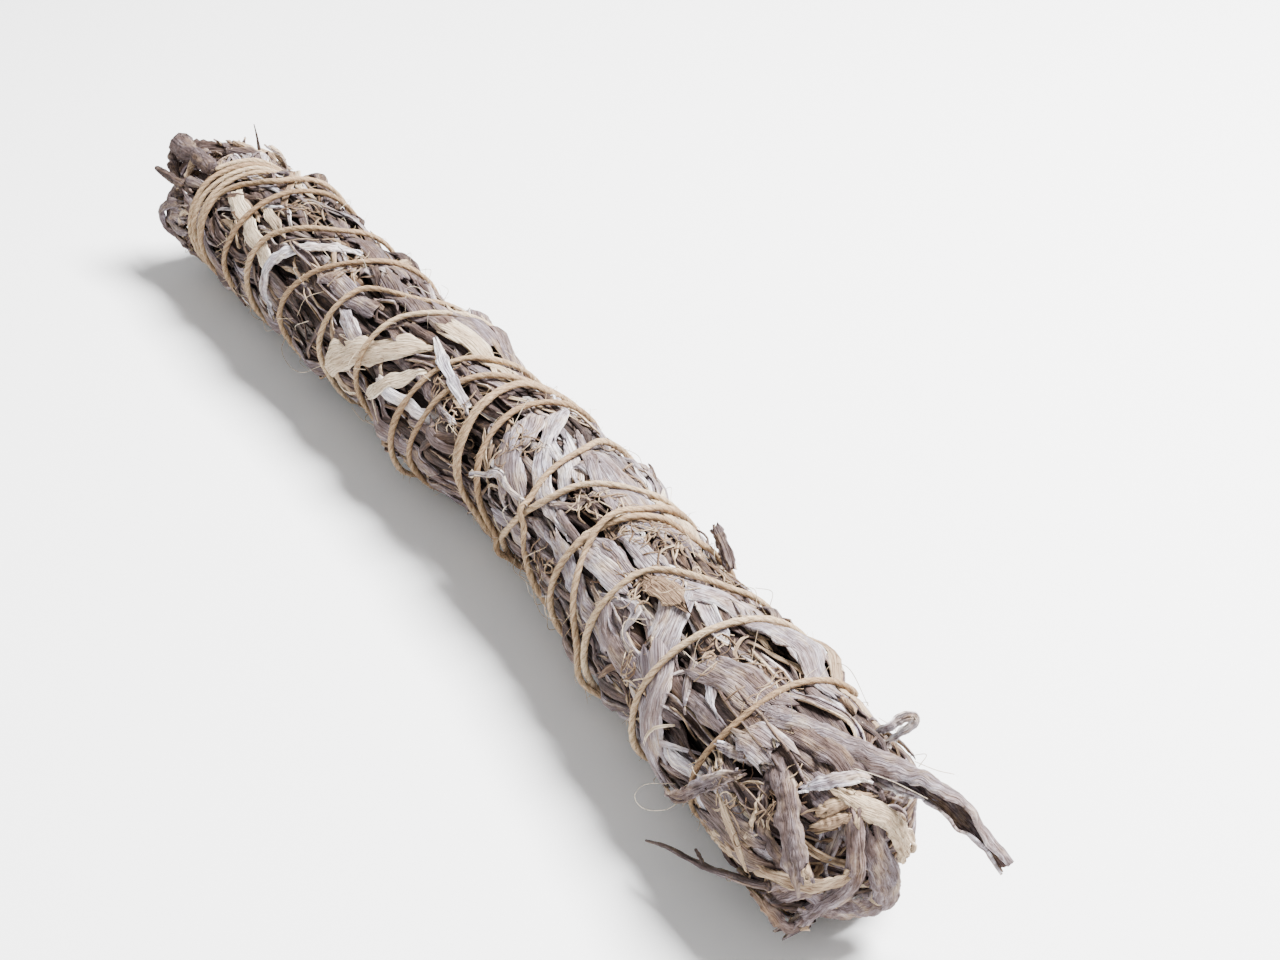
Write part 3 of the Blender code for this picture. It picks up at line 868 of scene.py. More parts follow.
# %% [markdown]
# ## The hidden and the visible layers
#
# Wide strips go down first and close the view. Lying deep, they are dark, from painted shade as well as
# from the strips above them. Narrower ones follow, each dropped where the pile is lowest of a few places
# tried, because that is where a strip would slip into. Tones are drawn from the few that the photograph
# shows: lilac grey mostly, some bleached, some brown.

# %% Dropping strips at random
FAR_HALF, NEAR_HALF, BODY = (-163.0, 20.0), (-20.0, 166.0), (-152.0, 152.0)
BLEACHED_FROM, BROWN_FROM = 0.36, 0.64
TRIES = 5


def random_path(start, angle, length, lean, wander):
    """A wavering path: lean is its slant, in degrees of angle for each mm along."""
    knots = max(3, int(length / 8) + 1)
    far = np.linspace(0, length, knots)
    drift = np.cumsum(chance.normal(0, wander * 0.7, knots)) + chance.normal(0, wander * 0.35, knots)
    return np.stack([start + far, angle + lean * far + drift], axis=1)


def lowest_of(tries, length, lean, wander, span):
    """Tries a few paths and keeps the one that lies lowest on the pile."""
    best, best_height = None, 1e9
    for _ in range(tries):
        start = chance.uniform(span[0] - 0.3 * length, span[1] - 0.5 * length)
        path = random_path(start, chance.uniform(0, 360), length, lean, wander)
        path[:, 0] = np.clip(path[:, 0], span[0] + chance.uniform(0, 6), span[1] - chance.uniform(0, 6))
        if path[-1, 0] - path[0, 0] < 0.3 * length:
            continue
        height = read_map(pile, path[:, 0], path[:, 1]).mean()
        if height < best_height:
            best, best_height = path, height
    return best


def random_tone():
    kind = chance.random()
    if kind < BLEACHED_FROM:
        return chance.normal(0.45, 0.08)
    if kind < BROWN_FROM:
        return chance.normal(0.74, 0.09)
    return chance.normal(0.22, 0.08)


def drop_strips(count, lengths, widths, curls, lean, wander, span, tones=random_tone, **more):
    """Drops strips with random lengths and widths in mm. Three in ten curl upwards."""
    strips = []
    for _ in range(count):
        length = chance.uniform(*lengths)
        path = lowest_of(TRIES, length, chance.normal(0, lean), wander, span)
        if path is None:
            continue
        curl = chance.uniform(*curls) * (-1 if chance.random() < 0.3 else 1)
        tips = chance.choice([0.05, 0.35, 0.8], 2)
        strips.append(lay_strip(path, chance.uniform(*widths), curl, tones(), tips=tips, **more))
    return strips


def drop_on_both_halves(*how, **more):
    return [drop_strips(*how, half, **more) for half in (FAR_HALF, NEAR_HALF)]


deep_far, deep_near = drop_on_both_halves(42, (90, 150), (6.0, 9.0), (0.3, 0.9), 0.03, 2.0,
                                          columns=6, row_mm=3.2)
middle_far, middle_near = drop_on_both_halves(105, (35, 95), (3.6, 7.0), (0.8, 2.3), 0.18, 4.0, row_mm=1.9)
upper_far, upper_near = drop_on_both_halves(125, (16, 55), (2.0, 4.4), (0.8, 2.7), 0.40, 7, row_mm=1.5)
print("strips dropped:", sum(map(len, (deep_far, deep_near, middle_far, middle_near, upper_far, upper_near))))

# %% [markdown]
# Torn shreds of bark and of its tan inner side lie every way between the strips. They are strips too,
# only short and narrow, so the same functions lay them.

# %% Shreds


def tan_tone():
    return chance.normal(0.42, 0.16)


def drop_shreds(count, lengths, widths):
    return drop_strips(count, lengths, widths, (0.4, 1.6), 1.6, 9, BODY,
                       columns=4, row_mm=1.6, tilt=0.3, crumple=0.3)


def drop_tan_shreds(count, lengths, widths):
    return drop_strips(count, lengths, widths, (0.3, 1.2), 1.8, 10, BODY, tones=tan_tone,
                       columns=4, row_mm=1.6, tilt=0.3, crumple=0.35)


shreds = drop_shreds(250, (6, 26), (0.7, 2.0))
tan_shreds = drop_tan_shreds(140, (5, 22), (0.5, 1.8))
print("pile:", pile.mean().round(2), "mm on average,", np.percentile(pile, 95).round(2), "near the top")

# %% [markdown]
# ## The strips that the photograph shows
#
# Some strips stand out, such as the cream ones near the far end, the bluish one that lies over the
# twine and the long bluish one near the near end. A random draw never makes them, so each is listed
# with the places it passes, its width, curl and tone, and is laid on top of the others.

# %% Strips that stand out
LEFT_TIP, BOTH_TIPS, NO_TIPS = (0.1, 0.9), (0.12, 0.12), (0.9, 0.9)
GREY_STRIPS = (
    ("smooth grey strip", [(-68, 122), (-59, 119), (-50, 119), (-40, 116)], 6.0, 0.9, 0.52, LEFT_TIP),
    ("bluish leaf", [(-50, 133), (-42, 139), (-35, 146)], 4.5, 0.5, 0.72, BOTH_TIPS),
    ("dark purple twig", [(-32, 108), (-17, 105), (-4, 101)], 3.0, 1.8, 0.24, NO_TIPS),
    ("lilac bulge", [(-26, 82), (-15, 73), (-6, 66)], 7.5, 0.9, 0.50, NO_TIPS),
    ("right contour strip", [(-34, 44), (-14, 52), (4, 63)], 5.5, 0.8, 0.46, NO_TIPS),
    ("broad curled strip", [(22, 97), (27, 114), (33, 134), (40, 150)], 8.0, 0.7, 0.56, LEFT_TIP),
    ("long pale pair, lower", [(18, 49), (27, 85), (36, 109), (45, 129), (52, 133), (62, 136)],
     2.6, 0.8, 0.72, BOTH_TIPS),
    ("long pale pair, upper", [(22, 62), (33, 95), (41, 114), (48, 127), (54, 128)],
     2.4, 0.8, 0.76, BOTH_TIPS),
    ("lilac plate", [(24, 98), (28, 106), (32, 118)], 6.5, 0.5, 0.66, NO_TIPS),
    ("pale square flake", [(37, 98), (44, 102), (52, 114)], 5.6, 0.25, 0.80, NO_TIPS),
    ("broad strip on top", [(46, 88), (56, 84), (70, 78), (80, 70)], 9.0, 0.5, 0.60, NO_TIPS),
    ("thin strip beside it", [(32, 76), (45, 88), (55, 96), (68, 102)], 3.0, 1.1, 0.55, BOTH_TIPS),
    ("hook", [(51, 130), (57, 119), (57, 104)], 2.6, 1.2, 0.40, BOTH_TIPS),
    ("short strip, lower left", [(34, 172), (42, 168), (50, 165)], 5.0, 0.8, 0.56, NO_TIPS),
    ("grey strip in front", [(66, 124), (75, 121), (84, 121)], 4.4, 0.9, 0.58, LEFT_TIP),
    ("pale strip in front", [(66, 134), (76, 130), (86, 127)], 5.2, 1.0, 0.70, LEFT_TIP),
    ("pale strip behind it", [(70, 106), (78, 105), (87, 102)], 4.8, 0.8, 0.68, NO_TIPS),
    ("long bluish strip", [(88, 104), (95, 95), (101, 85), (107, 70), (116, 67), (129, 65)],
     6.5, 0.6, 0.72, NO_TIPS),
    ("spade", [(94, 99), (98, 112), (101, 124), (103, 138)], 7.5, 0.4, 0.70, LEFT_TIP),
    ("wavy strip", [(87, 132), (92, 130), (93, 139), (94, 147), (102, 147)], 2.2, 1.3, 0.68, BOTH_TIPS),
    ("striated strip", [(104, 140), (108, 154), (110, 166), (113, 177), (116, 188)], 9.0, 0.6, 0.62, NO_TIPS),
    ("thin strip, near", [(106, 116), (113, 129), (118, 142)], 2.4, 1.0, 0.56, BOTH_TIPS),
    ("bluish strip, near", [(112, 117), (119, 123), (124, 130)], 2.8, 1.0, 0.74, BOTH_TIPS),
    ("broad lilac strip", [(115, 118), (124, 110), (134, 101)], 7.5, 0.8, 0.48, NO_TIPS),
    ("long strip on top, near", [(106, 75), (120, 69), (134, 64)], 5.5, 0.7, 0.66, NO_TIPS),
    ("purple piece, near", [(138, 105), (147, 97), (156, 90)], 6.5, 0.9, 0.34, NO_TIPS),
    ("striped strip, left", [(56, 141), (67, 150), (76, 155), (90, 162)], 4.6, 0.8, 0.64, NO_TIPS),
    ("dark strip, left", [(18, 181), (29, 194), (47, 193)], 5.5, 0.9, 0.30, NO_TIPS),
    ("grey strip, middle", [(78, 142), (91, 154), (106, 160)], 4.6, 0.8, 0.50, BOTH_TIPS),
    ("far strip, left", [(-140, 158), (-123, 180), (-106, 205)], 5.0, 0.9, 0.44, NO_TIPS),
    ("far strip, lower left", [(-101, 191), (-82, 200), (-56, 205)], 6.0, 0.9, 0.48, NO_TIPS),
    ("middle strip, left", [(-24, 173), (-10, 186), (8, 191)], 5.0, 0.8, 0.46, NO_TIPS),
    ("middle strip, top", [(-48, 90), (-30, 92), (-14, 91)], 5.4, 0.9, 0.40, NO_TIPS),
    ("far strip, top", [(-90, 69), (-68, 71), (-48, 70)], 6.0, 0.8, 0.42, NO_TIPS),
    ("dark fold", [(-122, 50), (-112, 46), (-102, 50)], 5.0, 1.3, 0.26, BOTH_TIPS),
    ("brown strip, left", [(133, 173), (142, 171), (152, 168)], 7.0, 0.8, 0.30, NO_TIPS),
    ("pink flake, near", [(132, 128), (137, 124), (143, 122)], 6.0, 0.4, 0.64, LEFT_TIP),
)
TAN_STRIPS = (
    ("cream strip", [(-122, 119), (-107, 130), (-95, 138), (-84, 145)], 4.6, 0.3, 0.76, NO_TIPS),
    ("second cream strip", [(-110, 110), (-100, 115), (-90, 119)], 2.8, 0.4, 0.72, BOTH_TIPS),
    ("big tan flake", [(-50, 188), (-36, 152), (-25, 130), (-14, 110)], 7.5, 0.4, 0.64, BOTH_TIPS),
    ("small tan leaf", [(-26, 176), (-18, 151), (-11, 129)], 3.6, 0.4, 0.74, BOTH_TIPS),
    ("tan piece, middle", [(-18, 93), (-5, 82), (4, 76)], 5.0, 0.6, 0.64, NO_TIPS),
    ("reddish piece", [(86, 113), (92, 110), (99, 108)], 5.0, 0.6, 0.14, BOTH_TIPS),
    ("tan contour strip", [(112, 50), (126, 47), (142, 46)], 3.4, 0.7, 0.40, NO_TIPS),
    ("tan shred, left", [(137, 158), (143, 168), (149, 180)], 2.2, 0.8, 0.40, BOTH_TIPS),
    ("tan piece on top", [(58, 60), (70, 57), (82, 56)], 4.0, 0.5, 0.60, BOTH_TIPS),
)
OVER_TWINE = (
    ("pale strip over the twine", [(-16, 104), (-5, 115), (4, 122), (13, 129)], 2.6, 0.6, 0.84, BOTH_TIPS),
    ("bent bluish twig", [(22, 160), (33, 142), (38, 143), (46, 143)], 2.6, 1.9, 0.78, NO_TIPS),
)


def lay_listed(listed, **more):
    return [
        lay_strip(path, width, curl, tone, row_mm=1.2, columns=9, tips=tips, tilt=0.07, crumple=0.10, **more)
        for _, path, width, curl, tone, tips in listed
    ]


shown_grey = lay_listed(GREY_STRIPS)
shown_tan = lay_listed(TAN_STRIPS)
shown_over = lay_listed(OVER_TWINE, over_twine=True)
print("strips listed by hand:", len(shown_grey) + len(shown_tan) + len(shown_over))

# %% [markdown]
# ## Small bits
#
# About a hundred more shreds lie on top of everything, and in the hollows hair-thin tan fibres are
# tangled. They break up the even surface. The hollows that show in the photograph are listed.

# %% Small bits
shreds += drop_shreds(60, (6, 22), (0.5, 1.5))
tan_shreds += drop_tan_shreds(50, (5, 18), (0.4, 1.2))
FIBRES_IN_A_TANGLE = 22
FIBRE_STEP_MM = 1.6
FIBRE_TANGLES = (
    (70, 97), (76, 90), (82, 80), (88, 58), (86, 118), (89, 110), (60, 108), (113, 107), (150, 140),
    (32, 118), (-3, 120), (8, 133), (-60, 95), (-98, 85), (-35, 60), (100, 165), (58, 165), (128, 100),
    (140, 150),
)


def tangle(middle_along, middle_angle):
    """Short curly fibres that lie every way round one place."""
    strips = []
    for _ in range(FIBRES_IN_A_TANGLE):
        along, angle = middle_along + chance.normal(0, 3.0), middle_angle + chance.normal(0, 9)
        heading = chance.uniform(0, 6.3)
        turning = chance.normal(0, 1.6)
        path = [(along, angle)]
        for _ in range(3):
            heading += turning * 0.5
            along = along + FIBRE_STEP_MM * math.cos(heading)
            angle = angle + FIBRE_STEP_MM * math.sin(heading) / MM_PER_DEGREE
            path.append((along, angle))
        width, tone = chance.uniform(0.14, 0.34), tan_tone() - 0.18
        strips.append(lay_strip(path, width, 0.6, tone, row_mm=0.9, columns=3, thick=0.2, tilt=0.2,
                                crumple=0.35, torn=0.0))
    return strips


tangles = [strip for place in FIBRE_TANGLES for strip in tangle(*place)]
pile_top = np.percentile(pile[20:-20], 93)
print("the pile is squeezed from", round(float(pile_top), 2), "mm")

# %% [markdown]
# Now that the pile's height is known, the strips can be placed. Those of one layer share a mesh. The
# middle layer takes the place of the plain strips that the solids have, and a thin wall gives every
# strip a back, which for bark is its cream inner side.

# %% Pieces of bark in the scene


def solids_named(start):
    return [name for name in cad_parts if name.startswith(start)]


for name, strips, slot, thickness, solids in (
    ("deep_strips", deep_far + deep_near, "weathered_bark", 0.5, ()),
    ("middle_strips_far", middle_far, "weathered_bark", 0.45, solids_named("bark_far")),
    ("middle_strips_near", middle_near, "weathered_bark", 0.45, solids_named("bark_near")),
    ("upper_strips_far", upper_far, "weathered_bark", 0.4, ()),
    ("upper_strips_near", upper_near, "weathered_bark", 0.4, ()),
    ("shown_strips", shown_grey + shown_over, "weathered_bark", 0.45, ()),
    ("shown_tan_strips", shown_tan, "inner_bark", 0.4, ()),
    ("shreds", shreds, "pale_bark", 0.3, ()),
    ("tan_shreds", tan_shreds, "inner_bark", 0.25, ()),
    ("fibre_tangles", tangles, "inner_bark", 0.15, ()),
):
    mesh_of_grids(name, place_strips(strips, pile_top), slot, solids, thickness)

# %% [markdown]
# ## Twigs inside
#
# In the gaps and at the far end the round twigs show. Each is a grid rolled shut, thick and thin by
# turns, with a few knots, and its ends are broken off.

# %% Twigs inside the bundle
TWIG_RINGS = ((1, 0.0, 4.6), (6, 4.9, 3.9), (12, 9.2, 3.4))
NECK_X, NECK_REACH, NECK_SQUEEZE = -131, 13, 0.15
UP = np.array([0.0, 0.0, 1.0])
TWIG_SIDES = 10


def rod_grid(line, radius, out, tone, rough=0.06):
    """A grid rolled into a rod round a line of points. Its first and last rings shut its two ends."""
    ahead, rise, across = frames_along(line, out)
    around = np.linspace(0, 2 * math.pi, TWIG_SIDES + 1)[:, None]
    uneven = 1 + rough * np.sin(around * 2 + drifting(len(line), 5, 1.5)) + drifting(len(line), 3, rough)
    uneven[-1] = uneven[0]
    shut = np.ones(len(line))
    shut[[0, -1]] = 0
    shut[[1, -2]] = 0.9
    step = np.linalg.norm(np.diff(line, axis=0), axis=1).mean() / MM
    line = line.copy()
    line[0] = line[1] - ahead[1] * 0.1 * MM
    line[-1] = line[-2] + ahead[-2] * 0.1 * MM
    ring = np.cos(around)[..., None] * across + np.sin(around)[..., None] * rise
    points = line + ring * (radius * shut * uneven)[..., None] * MM
    points[-1] = points[0]
    seed = chance.uniform(0, 90)
    grain = (np.arange(len(line)) * step + seed * 5, 1.3 * np.cos(around), 1.3 * np.sin(around) + seed)
    # A fixed depth value of 0.7 gives every rod the same painted shade, a little darker all over.
    return grid_of(points, grain, (tone, 0.7, 0))


def inner_twigs():
    """Twigs nearly as long as the bundle. Each has a wavering line, an uneven girth and a few knots."""
    grids = []
    rings = [(*ring, k) for ring in TWIG_RINGS for k in range(ring[0])]
    for number, (count, distance, thickness, k) in enumerate(rings, 1):
        x = np.linspace(-140 + 5 * math.sin(3.1 * number), 144 + 3 * math.sin(1.7 * number), 70)
        angle = 360 / count * k + 11 * np.sin(x / 75 + count)
        girth = 0.90 + 0.06 * np.sin(x / 31 + number) + 0.08 * np.sin(x / 6.5 + number) ** 8
        together = 1 - NECK_SQUEEZE * np.exp(-(((x - NECK_X) / NECK_REACH) ** 2))
        line = spot(x, angle, distance * together)
        grids.append(rod_grid(line, thickness / 2 * girth * together, UP, chance.normal(0.3, 0.06)))
    return grids


mesh_of_grids("inner_twigs", inner_twigs(), "twig", solids_named("twig_"), closed=True)

# %% [markdown]
# ## What sticks out
#
# The ends have a character of their own: a long folded strip that points past the near end, a loop, a
# tab, folds that turn down over the face, and a knob at the far end. Each is placed in the round,
# close to its solid, and gets more width, curl and torn edges than the solid has.

# %% Strips and twigs placed in the round
ROUND_ABOVE_TABLE = 0.62


def line_through(places, rows):
    return through(spot(*np.asarray(places, float).T), rows)


def spread(values, rows):
    """A few values spread evenly over all the rows."""
    values = np.atleast_1d(values)
    return np.interp(np.linspace(0, 1, rows), np.linspace(0, 1, len(values)), values)


def straight_out(line):
    """The way out from the bundle's middle line at each point."""
    x = line[:, 0] / MM + ORIGIN[0]
    inside = [np.clip(x, -144, 144) - ORIGIN[0], middle_y(x) - ORIGIN[1], np.full(len(x), AXIS_HEIGHT)]
    return line - np.stack(inside, 1) * MM


def round_strip(places, width, curl, tone, looks=None, rows=60, columns=11, tips=(0.5, 0.5), fray=0.10,
                shift=(0, 0, 0), torn=0.3):
    """A strip through places given as (x, angle, radius). looks turns its face from straight out."""
    line = line_through(places, rows) + np.array(shift) * MM
    out = straight_out(line)
    if looks is not None:
        out = np.stack([spread(way, rows) for way in np.atleast_2d(looks).T], axis=1)
    ahead, rise, across = frames_along(line, out)
    t = np.linspace(0, 1, rows)
    u = np.linspace(-1, 1, columns)[:, None]
    widths, curls = spread(width, rows), spread(curl, rows)
    half = frayed(widths / 2 * tapered(t, tips, 0.2), u, 4, fray)
    bend = np.clip(abs(curls) * (1 + drifting(rows, 12, 0.1)), 0.05, 2.95)
    side = half * np.sin(u * bend) / bend
    arch = np.sign(curls) * half * (np.cos(u * bend) - 1) / bend
    turn = drifting(rows, 14, 0.12)
    lift = arch * np.cos(turn) + side * np.sin(turn) + crumpled(columns, rows, 1.0, widths.max(), 0.16)
    side = side * np.cos(turn) - arch * np.sin(turn)
    slip = ragged(t, u, np.minimum(2.0, torn * widths.max()), 0.08)
    points = line + (across * side[..., None] + rise * lift[..., None] + ahead * slip[..., None]) * MM
    points[..., 2] = np.maximum(points[..., 2], ROUND_ABOVE_TABLE * MM)
    seed = chance.uniform(0, 90)
    far = np.linspace(0, np.linalg.norm(np.diff(line, axis=0), axis=1).sum() / MM, rows)
    return grid_of(points, (far + seed * 7, u * half + seed, seed), (tone, 1, np.abs(u) ** 4))


def round_twig(places, diameters, tone, rows=40):
    radius = spread(diameters, rows) / 2
    return rod_grid(line_through(places, rows), radius, np.array([0.0, 0.1, 1.0]), tone, rough=0.11)


print("a place on the near rim:", spot(NEAR_RIM, 90, TWINE_RADIUS).round(3).tolist())

# %% [markdown]
# The long strip comes out from under the last pass of twine and closes to a gutter that is folded
# nearly shut. A flat strip bent once would look like paper, so its width and its curl both grow on the
# way out, and its face turns from upwards to sideways.

# %% The long folded strip
LONG_FOLD = (
    (119, 112, 17.0), (127, 111, 17.4), (131, 108, 18.2), (135, 105, 19.8), (141, 96, 20.2), (149, 79, 19.4),
    (155, 64, 19.0), (162, 48, 18.4), (173, 16, 18.3),
)
FOLD_WIDTHS = (5.6, 7.8, 8.6, 9.4, 11.0, 11.5, 11.5, 10.5)
FOLD_CURLS = (0.9, 1.2, 1.5, 1.8, 2.3, 2.6, 2.7, 2.6)
FOLD_LOOKS = (
    (0.1, -0.35, 0.94), (0.1, -0.25, 0.95), (0.1, 0.0, 0.99), (0, 0.4, 0.8), (-0.35, 0.72, 0.2),
    (-0.55, 0.72, -0.3), (-0.6, 0.71, -0.37),
)
mesh_of_grids("long_folded_strip", [
    round_strip(LONG_FOLD, FOLD_WIDTHS, FOLD_CURLS, 0.56, looks=FOLD_LOOKS, rows=120, columns=15,
                tips=(0.3, 0.7), fray=0.06, torn=0.04),
    round_strip([(144, 98, 17.2), (149, 86, 16.6), (153, 74, 16.2), (157, 62, 16.2), (161, 52, 16.8)],
                (5.2, 5.4, 4.6, 2.6), -0.4, 0.62, looks=(0.5, -0.55, 0.67), rows=80, tips=(0.8, 0.3),
                torn=0.2),
], "weathered_bark", ["long_fold"], thickness=0.5, finishes=[bark])

# %% [markdown]
# Along the sides a few thin pieces leave the bundle: a white strip bent across it near the far end, a
# small loop and an upright tab on the right, and on the left a curled strip and a thin twig with a
# side shoot. They break the outline, so they are worth placing one by one.

# %% Strips and twigs along the sides
mesh_of_grids("curved_white_strip", [
    round_strip([(-77, 177, 18.2), (-82, 162, 18.9), (-83, 142, 19.2), (-78, 121, 19.4), (-70, 101, 19.4),
                 (-63, 87, 18.8)], 3.4, 0.5, 0.84, rows=70, tips=(0.2, 0.2), fray=0.05),
], "pale_bark", thickness=0.5)
mesh_of_grids("small_side_loop", [
    round_strip([(145, 63, 17.6), (147, 60, 20.8), (147, 55, 23.2), (147, 50.5, 24.0), (147, 47, 23.2),
                 (147, 49, 20.8), (146.5, 54, 17.6)], 1.8, 0.4, 0.72, looks=(1, 0, 0.2), rows=50),
], "pale_bark", ["side_loop"], thickness=0.5)
mesh_of_grids("upright_side_tab", [
    round_strip([(88, 50, 17.6), (84.5, 50, 19.0), (81, 50, 20.0), (77, 50, 20.8)], 2.8, 1.0, 0.34,
                looks=(0.45, -0.4, 0.8), rows=36, tips=(0.6, 0.8), torn=0.1),
], "weathered_bark", ["side_tab"], thickness=0.7)
mesh_of_grids("left_curled_strip", [
    round_strip([(119.5, 192, 19.8), (121.5, 190, 20.6), (125, 187, 19.4), (129, 174, 19.2), (134, 157, 19.6),
                 (139, 141, 19.8)], 2.8, -1.0, 0.44, rows=60, tips=(0.2, 0.5)),
], "weathered_bark", ["left_curl"], thickness=0.5)
mesh_of_grids("left_thin_twig", [
    round_twig([(153, 184, 16.8), (149, 189, 18.6), (144, 195, 19.9), (139, 199, 21.8), (134, 199, 23.9),
                (129, 199, 25.8), (124, 201, 28.2)], (1.9, 1.5, 1.1, 0.5), 0.48, rows=60),
    round_twig([(137.5, 197, 22.4), (137.5, 192, 22.6), (137, 187, 23.0)], (0.8, 0.6), 0.3, rows=16),
], "twig", ["left_twig"], closed=True)

# %% [markdown]
# Over the face of the near end strips are folded down, and one cream strip curves up round it from
# below. They are thick enough to hide their own back, and lie one over another from the outside in.

# %% Folds over the near end
mesh_of_grids("end_arc_strip", [
    round_strip([(129, 178, 18.8), (132, 181, 19.2), (136, 183, 19.4), (143.5, 180, 19.5), (150, 177, 18.4),
                 (154.5, 178, 15.6), (158.4, 177, 12.0), (160.4, 167, 8.0), (160.8, 150, 6.4)],
                3.8, 1.0, 0.38, rows=90),
], "inner_bark", ["end_arc"], thickness=0.6)
mesh_of_grids("front_folded_strip", [
    round_strip([(138, 121, 18.4), (143, 123, 19.2), (149, 132, 19.2), (154.5, 147, 17.4), (157.6, 161, 15.6),
                 (158.4, 170, 14.8)], 5.8, 1.2, 0.46, rows=80, tips=(0.6, 0.85), fray=0.06),
], "weathered_bark", ["front_fold"], thickness=0.6)
mesh_of_grids("lower_fold_left", [
    round_strip([(156, 102, 12.6), (159, 115, 8.8), (160.3, 137, 5.8), (161, 164, 5), (160.3, 205, 7.2),
                 (158.5, 214, 10.6), (154.5, 224, 18.4)], 8.0, 2.3, 0.52, rows=80, columns=15,
                tips=(0.8, 0.7), fray=0.05, shift=(0.6, -0.5, 1.3)),
], "weathered_bark", ["near_fold_a"], thickness=0.6)
mesh_of_grids("lower_fold_right", [
    round_strip([(158, 85, 8), (160, 70, 3.6), (161, 320, 4.0), (160.6, 300, 8), (159, 288, 12.4),
                 (157.5, 262, 12.6), (157, 226, 12.0)], 9.0, 1.7, 0.50, rows=90, columns=15,
                tips=(0.8, 0.6), fray=0.05, shift=(0.5, -0.4, 1.1)),
], "weathered_bark", ["near_fold_b"], thickness=0.6)
mesh_of_grids("tan_end_wrap", [
    round_strip([(154, 104, 15.6), (157, 94, 13.0), (158.6, 76, 11.0), (159.4, 48, 8.0), (159.4, 20, 7.0),
                 (158.8, 352, 7.4)], 4.4, 0.9, 0.60, rows=70, tips=(0.6, 0.8), fray=0.05,
                shift=(0.4, -0.3, 0.3)),
], "inner_bark", ["tan_wrap"], thickness=0.5)

# %% [markdown]
# The face of the near end is a jumble: strips were folded in and cut off there at every angle. A few
# that the photograph shows are listed, and short ones at random fill the hollow behind them.

# %% Strips across both ends
FACE_X, FACE_RADIUS = 144.5, 18.5
NEAR_DEPTH, FAR_DEPTH = 14.0, 9.0


def face_x(radius, side):
    """How far out the domed face is at a distance from the middle line. side is 1 near and -1 far."""
    deep = NEAR_DEPTH if side > 0 else FAR_DEPTH
    return side * (FACE_X + deep * np.sqrt(np.clip(1 - (radius / FACE_RADIUS) ** 2, 0, 1)))


def across_the_face(count, side, tones, widths, sunk=(-0.6, 3.0)):
    """Short strips at random over one end, sunk under its face by so many mm."""
    grids = []
    for _ in range(count):
        start = chance.uniform(-12, 12, 2)
        heading = chance.uniform(0, 6.3)
        length = chance.uniform(8, 24)
        t = np.linspace(-0.5, 0.5, 5)[:, None]
        ahead = np.array([math.cos(heading), math.sin(heading)])
        bend = np.array([-ahead[1], ahead[0]]) * chance.normal(0, 4)
        flat = start + ahead * t * length + bend * (4 * t * t - 0.5)
        radius = np.minimum(np.linalg.norm(flat, axis=1), 17.0)
        angle = np.degrees(np.arctan2(flat[:, 1], flat[:, 0]))
        x = face_x(radius, side) - side * chance.uniform(*sunk) + chance.normal(0, 0.6, 5)
        curl = chance.uniform(0.8, 2.4) * chance.choice([-1, 1])
        width, tone = chance.uniform(*widths), chance.normal(*tones)
        tips = chance.choice([0.1, 0.5, 0.9], 2)
        places = np.stack([x, angle, radius], axis=1)
        grids.append(round_strip(places, width, curl, tone, rows=24, columns=7, tips=tips))
    return grids


NEAR_FACE = (
    ("pale strip, upper", [(150, 121, 18.2), (152, 112, 18.6), (153, 102, 18.0), (153.4, 90, 17.0),
                           (154, 82, 15.6)], 3.0, 1.1, 0.72),
    ("pink broad strip", [(138, 106, 18.2), (145, 101, 18.4), (150, 95, 17.4), (153.5, 87, 15.6)],
     8.0, 0.7, 0.36),
    ("second broad strip", [(140, 118, 18.0), (147, 114, 18.0), (152, 112, 16.4), (155, 108, 13.5)],
     6.0, 0.8, 0.44),
    ("bottom strip", [(147.5, 217, 18.2), (153.5, 197, 15.6), (156.8, 187, 12.2), (158.5, 183, 9)],
     5.0, 1.2, 0.46),
    ("bottom strip behind", [(150.5, 194, 17.2), (154.5, 183, 14.6), (157, 195, 11.6), (158, 215, 10)],
     4.2, 1.0, 0.52),
    ("strip on the left", [(142, 127, 18.4), (144.5, 140, 18.6), (146.5, 151, 18.2), (149, 166, 17.6)],
     3.6, 1.4, 0.40),
    ("strip on the left, lower", [(144, 146, 18.6), (148, 156, 18.2), (152, 164, 16.6), (155, 176, 14)],
     4.0, 1.2, 0.30),
    ("grey cross piece", [(130, 142, 18.6), (135, 136, 19.0), (139.5, 130, 18.8), (143, 128, 18.4)],
     2.8, 1.2, 0.66),
    ("pale square", [(133, 124, 18.6), (136.5, 126, 18.8), (140, 127, 18.6)], 5.2, 0.5, 0.50),
    ("corner", [(150, 200, 18.8), (154.5, 206, 18.6), (156, 216, 17.4), (157, 222, 13.5)], 4.6, 0.8, 0.42),
)
NEAR_FACE_TAN = (
    ("lump", [(153, 127, 15.4), (154.6, 115, 15.2), (155.4, 100, 14.6), (155.4, 88, 13.8)], 5.0, 1.6, 0.34),
    ("lower lump", [(154.6, 132, 14.4), (156.4, 118, 13.4), (157.2, 103, 12.6)], 4.0, 1.8, 0.28),
    ("stalk", [(145, 143, 19.2), (146.4, 152, 19.4), (146.6, 163, 19.2), (146, 176, 18.8)], 1.6, 1.8, 0.60),
)


def listed_in_the_round(listed):
    return [round_strip(places, width, curl, tone, rows=44, columns=9)
            for _, places, width, curl, tone in listed]


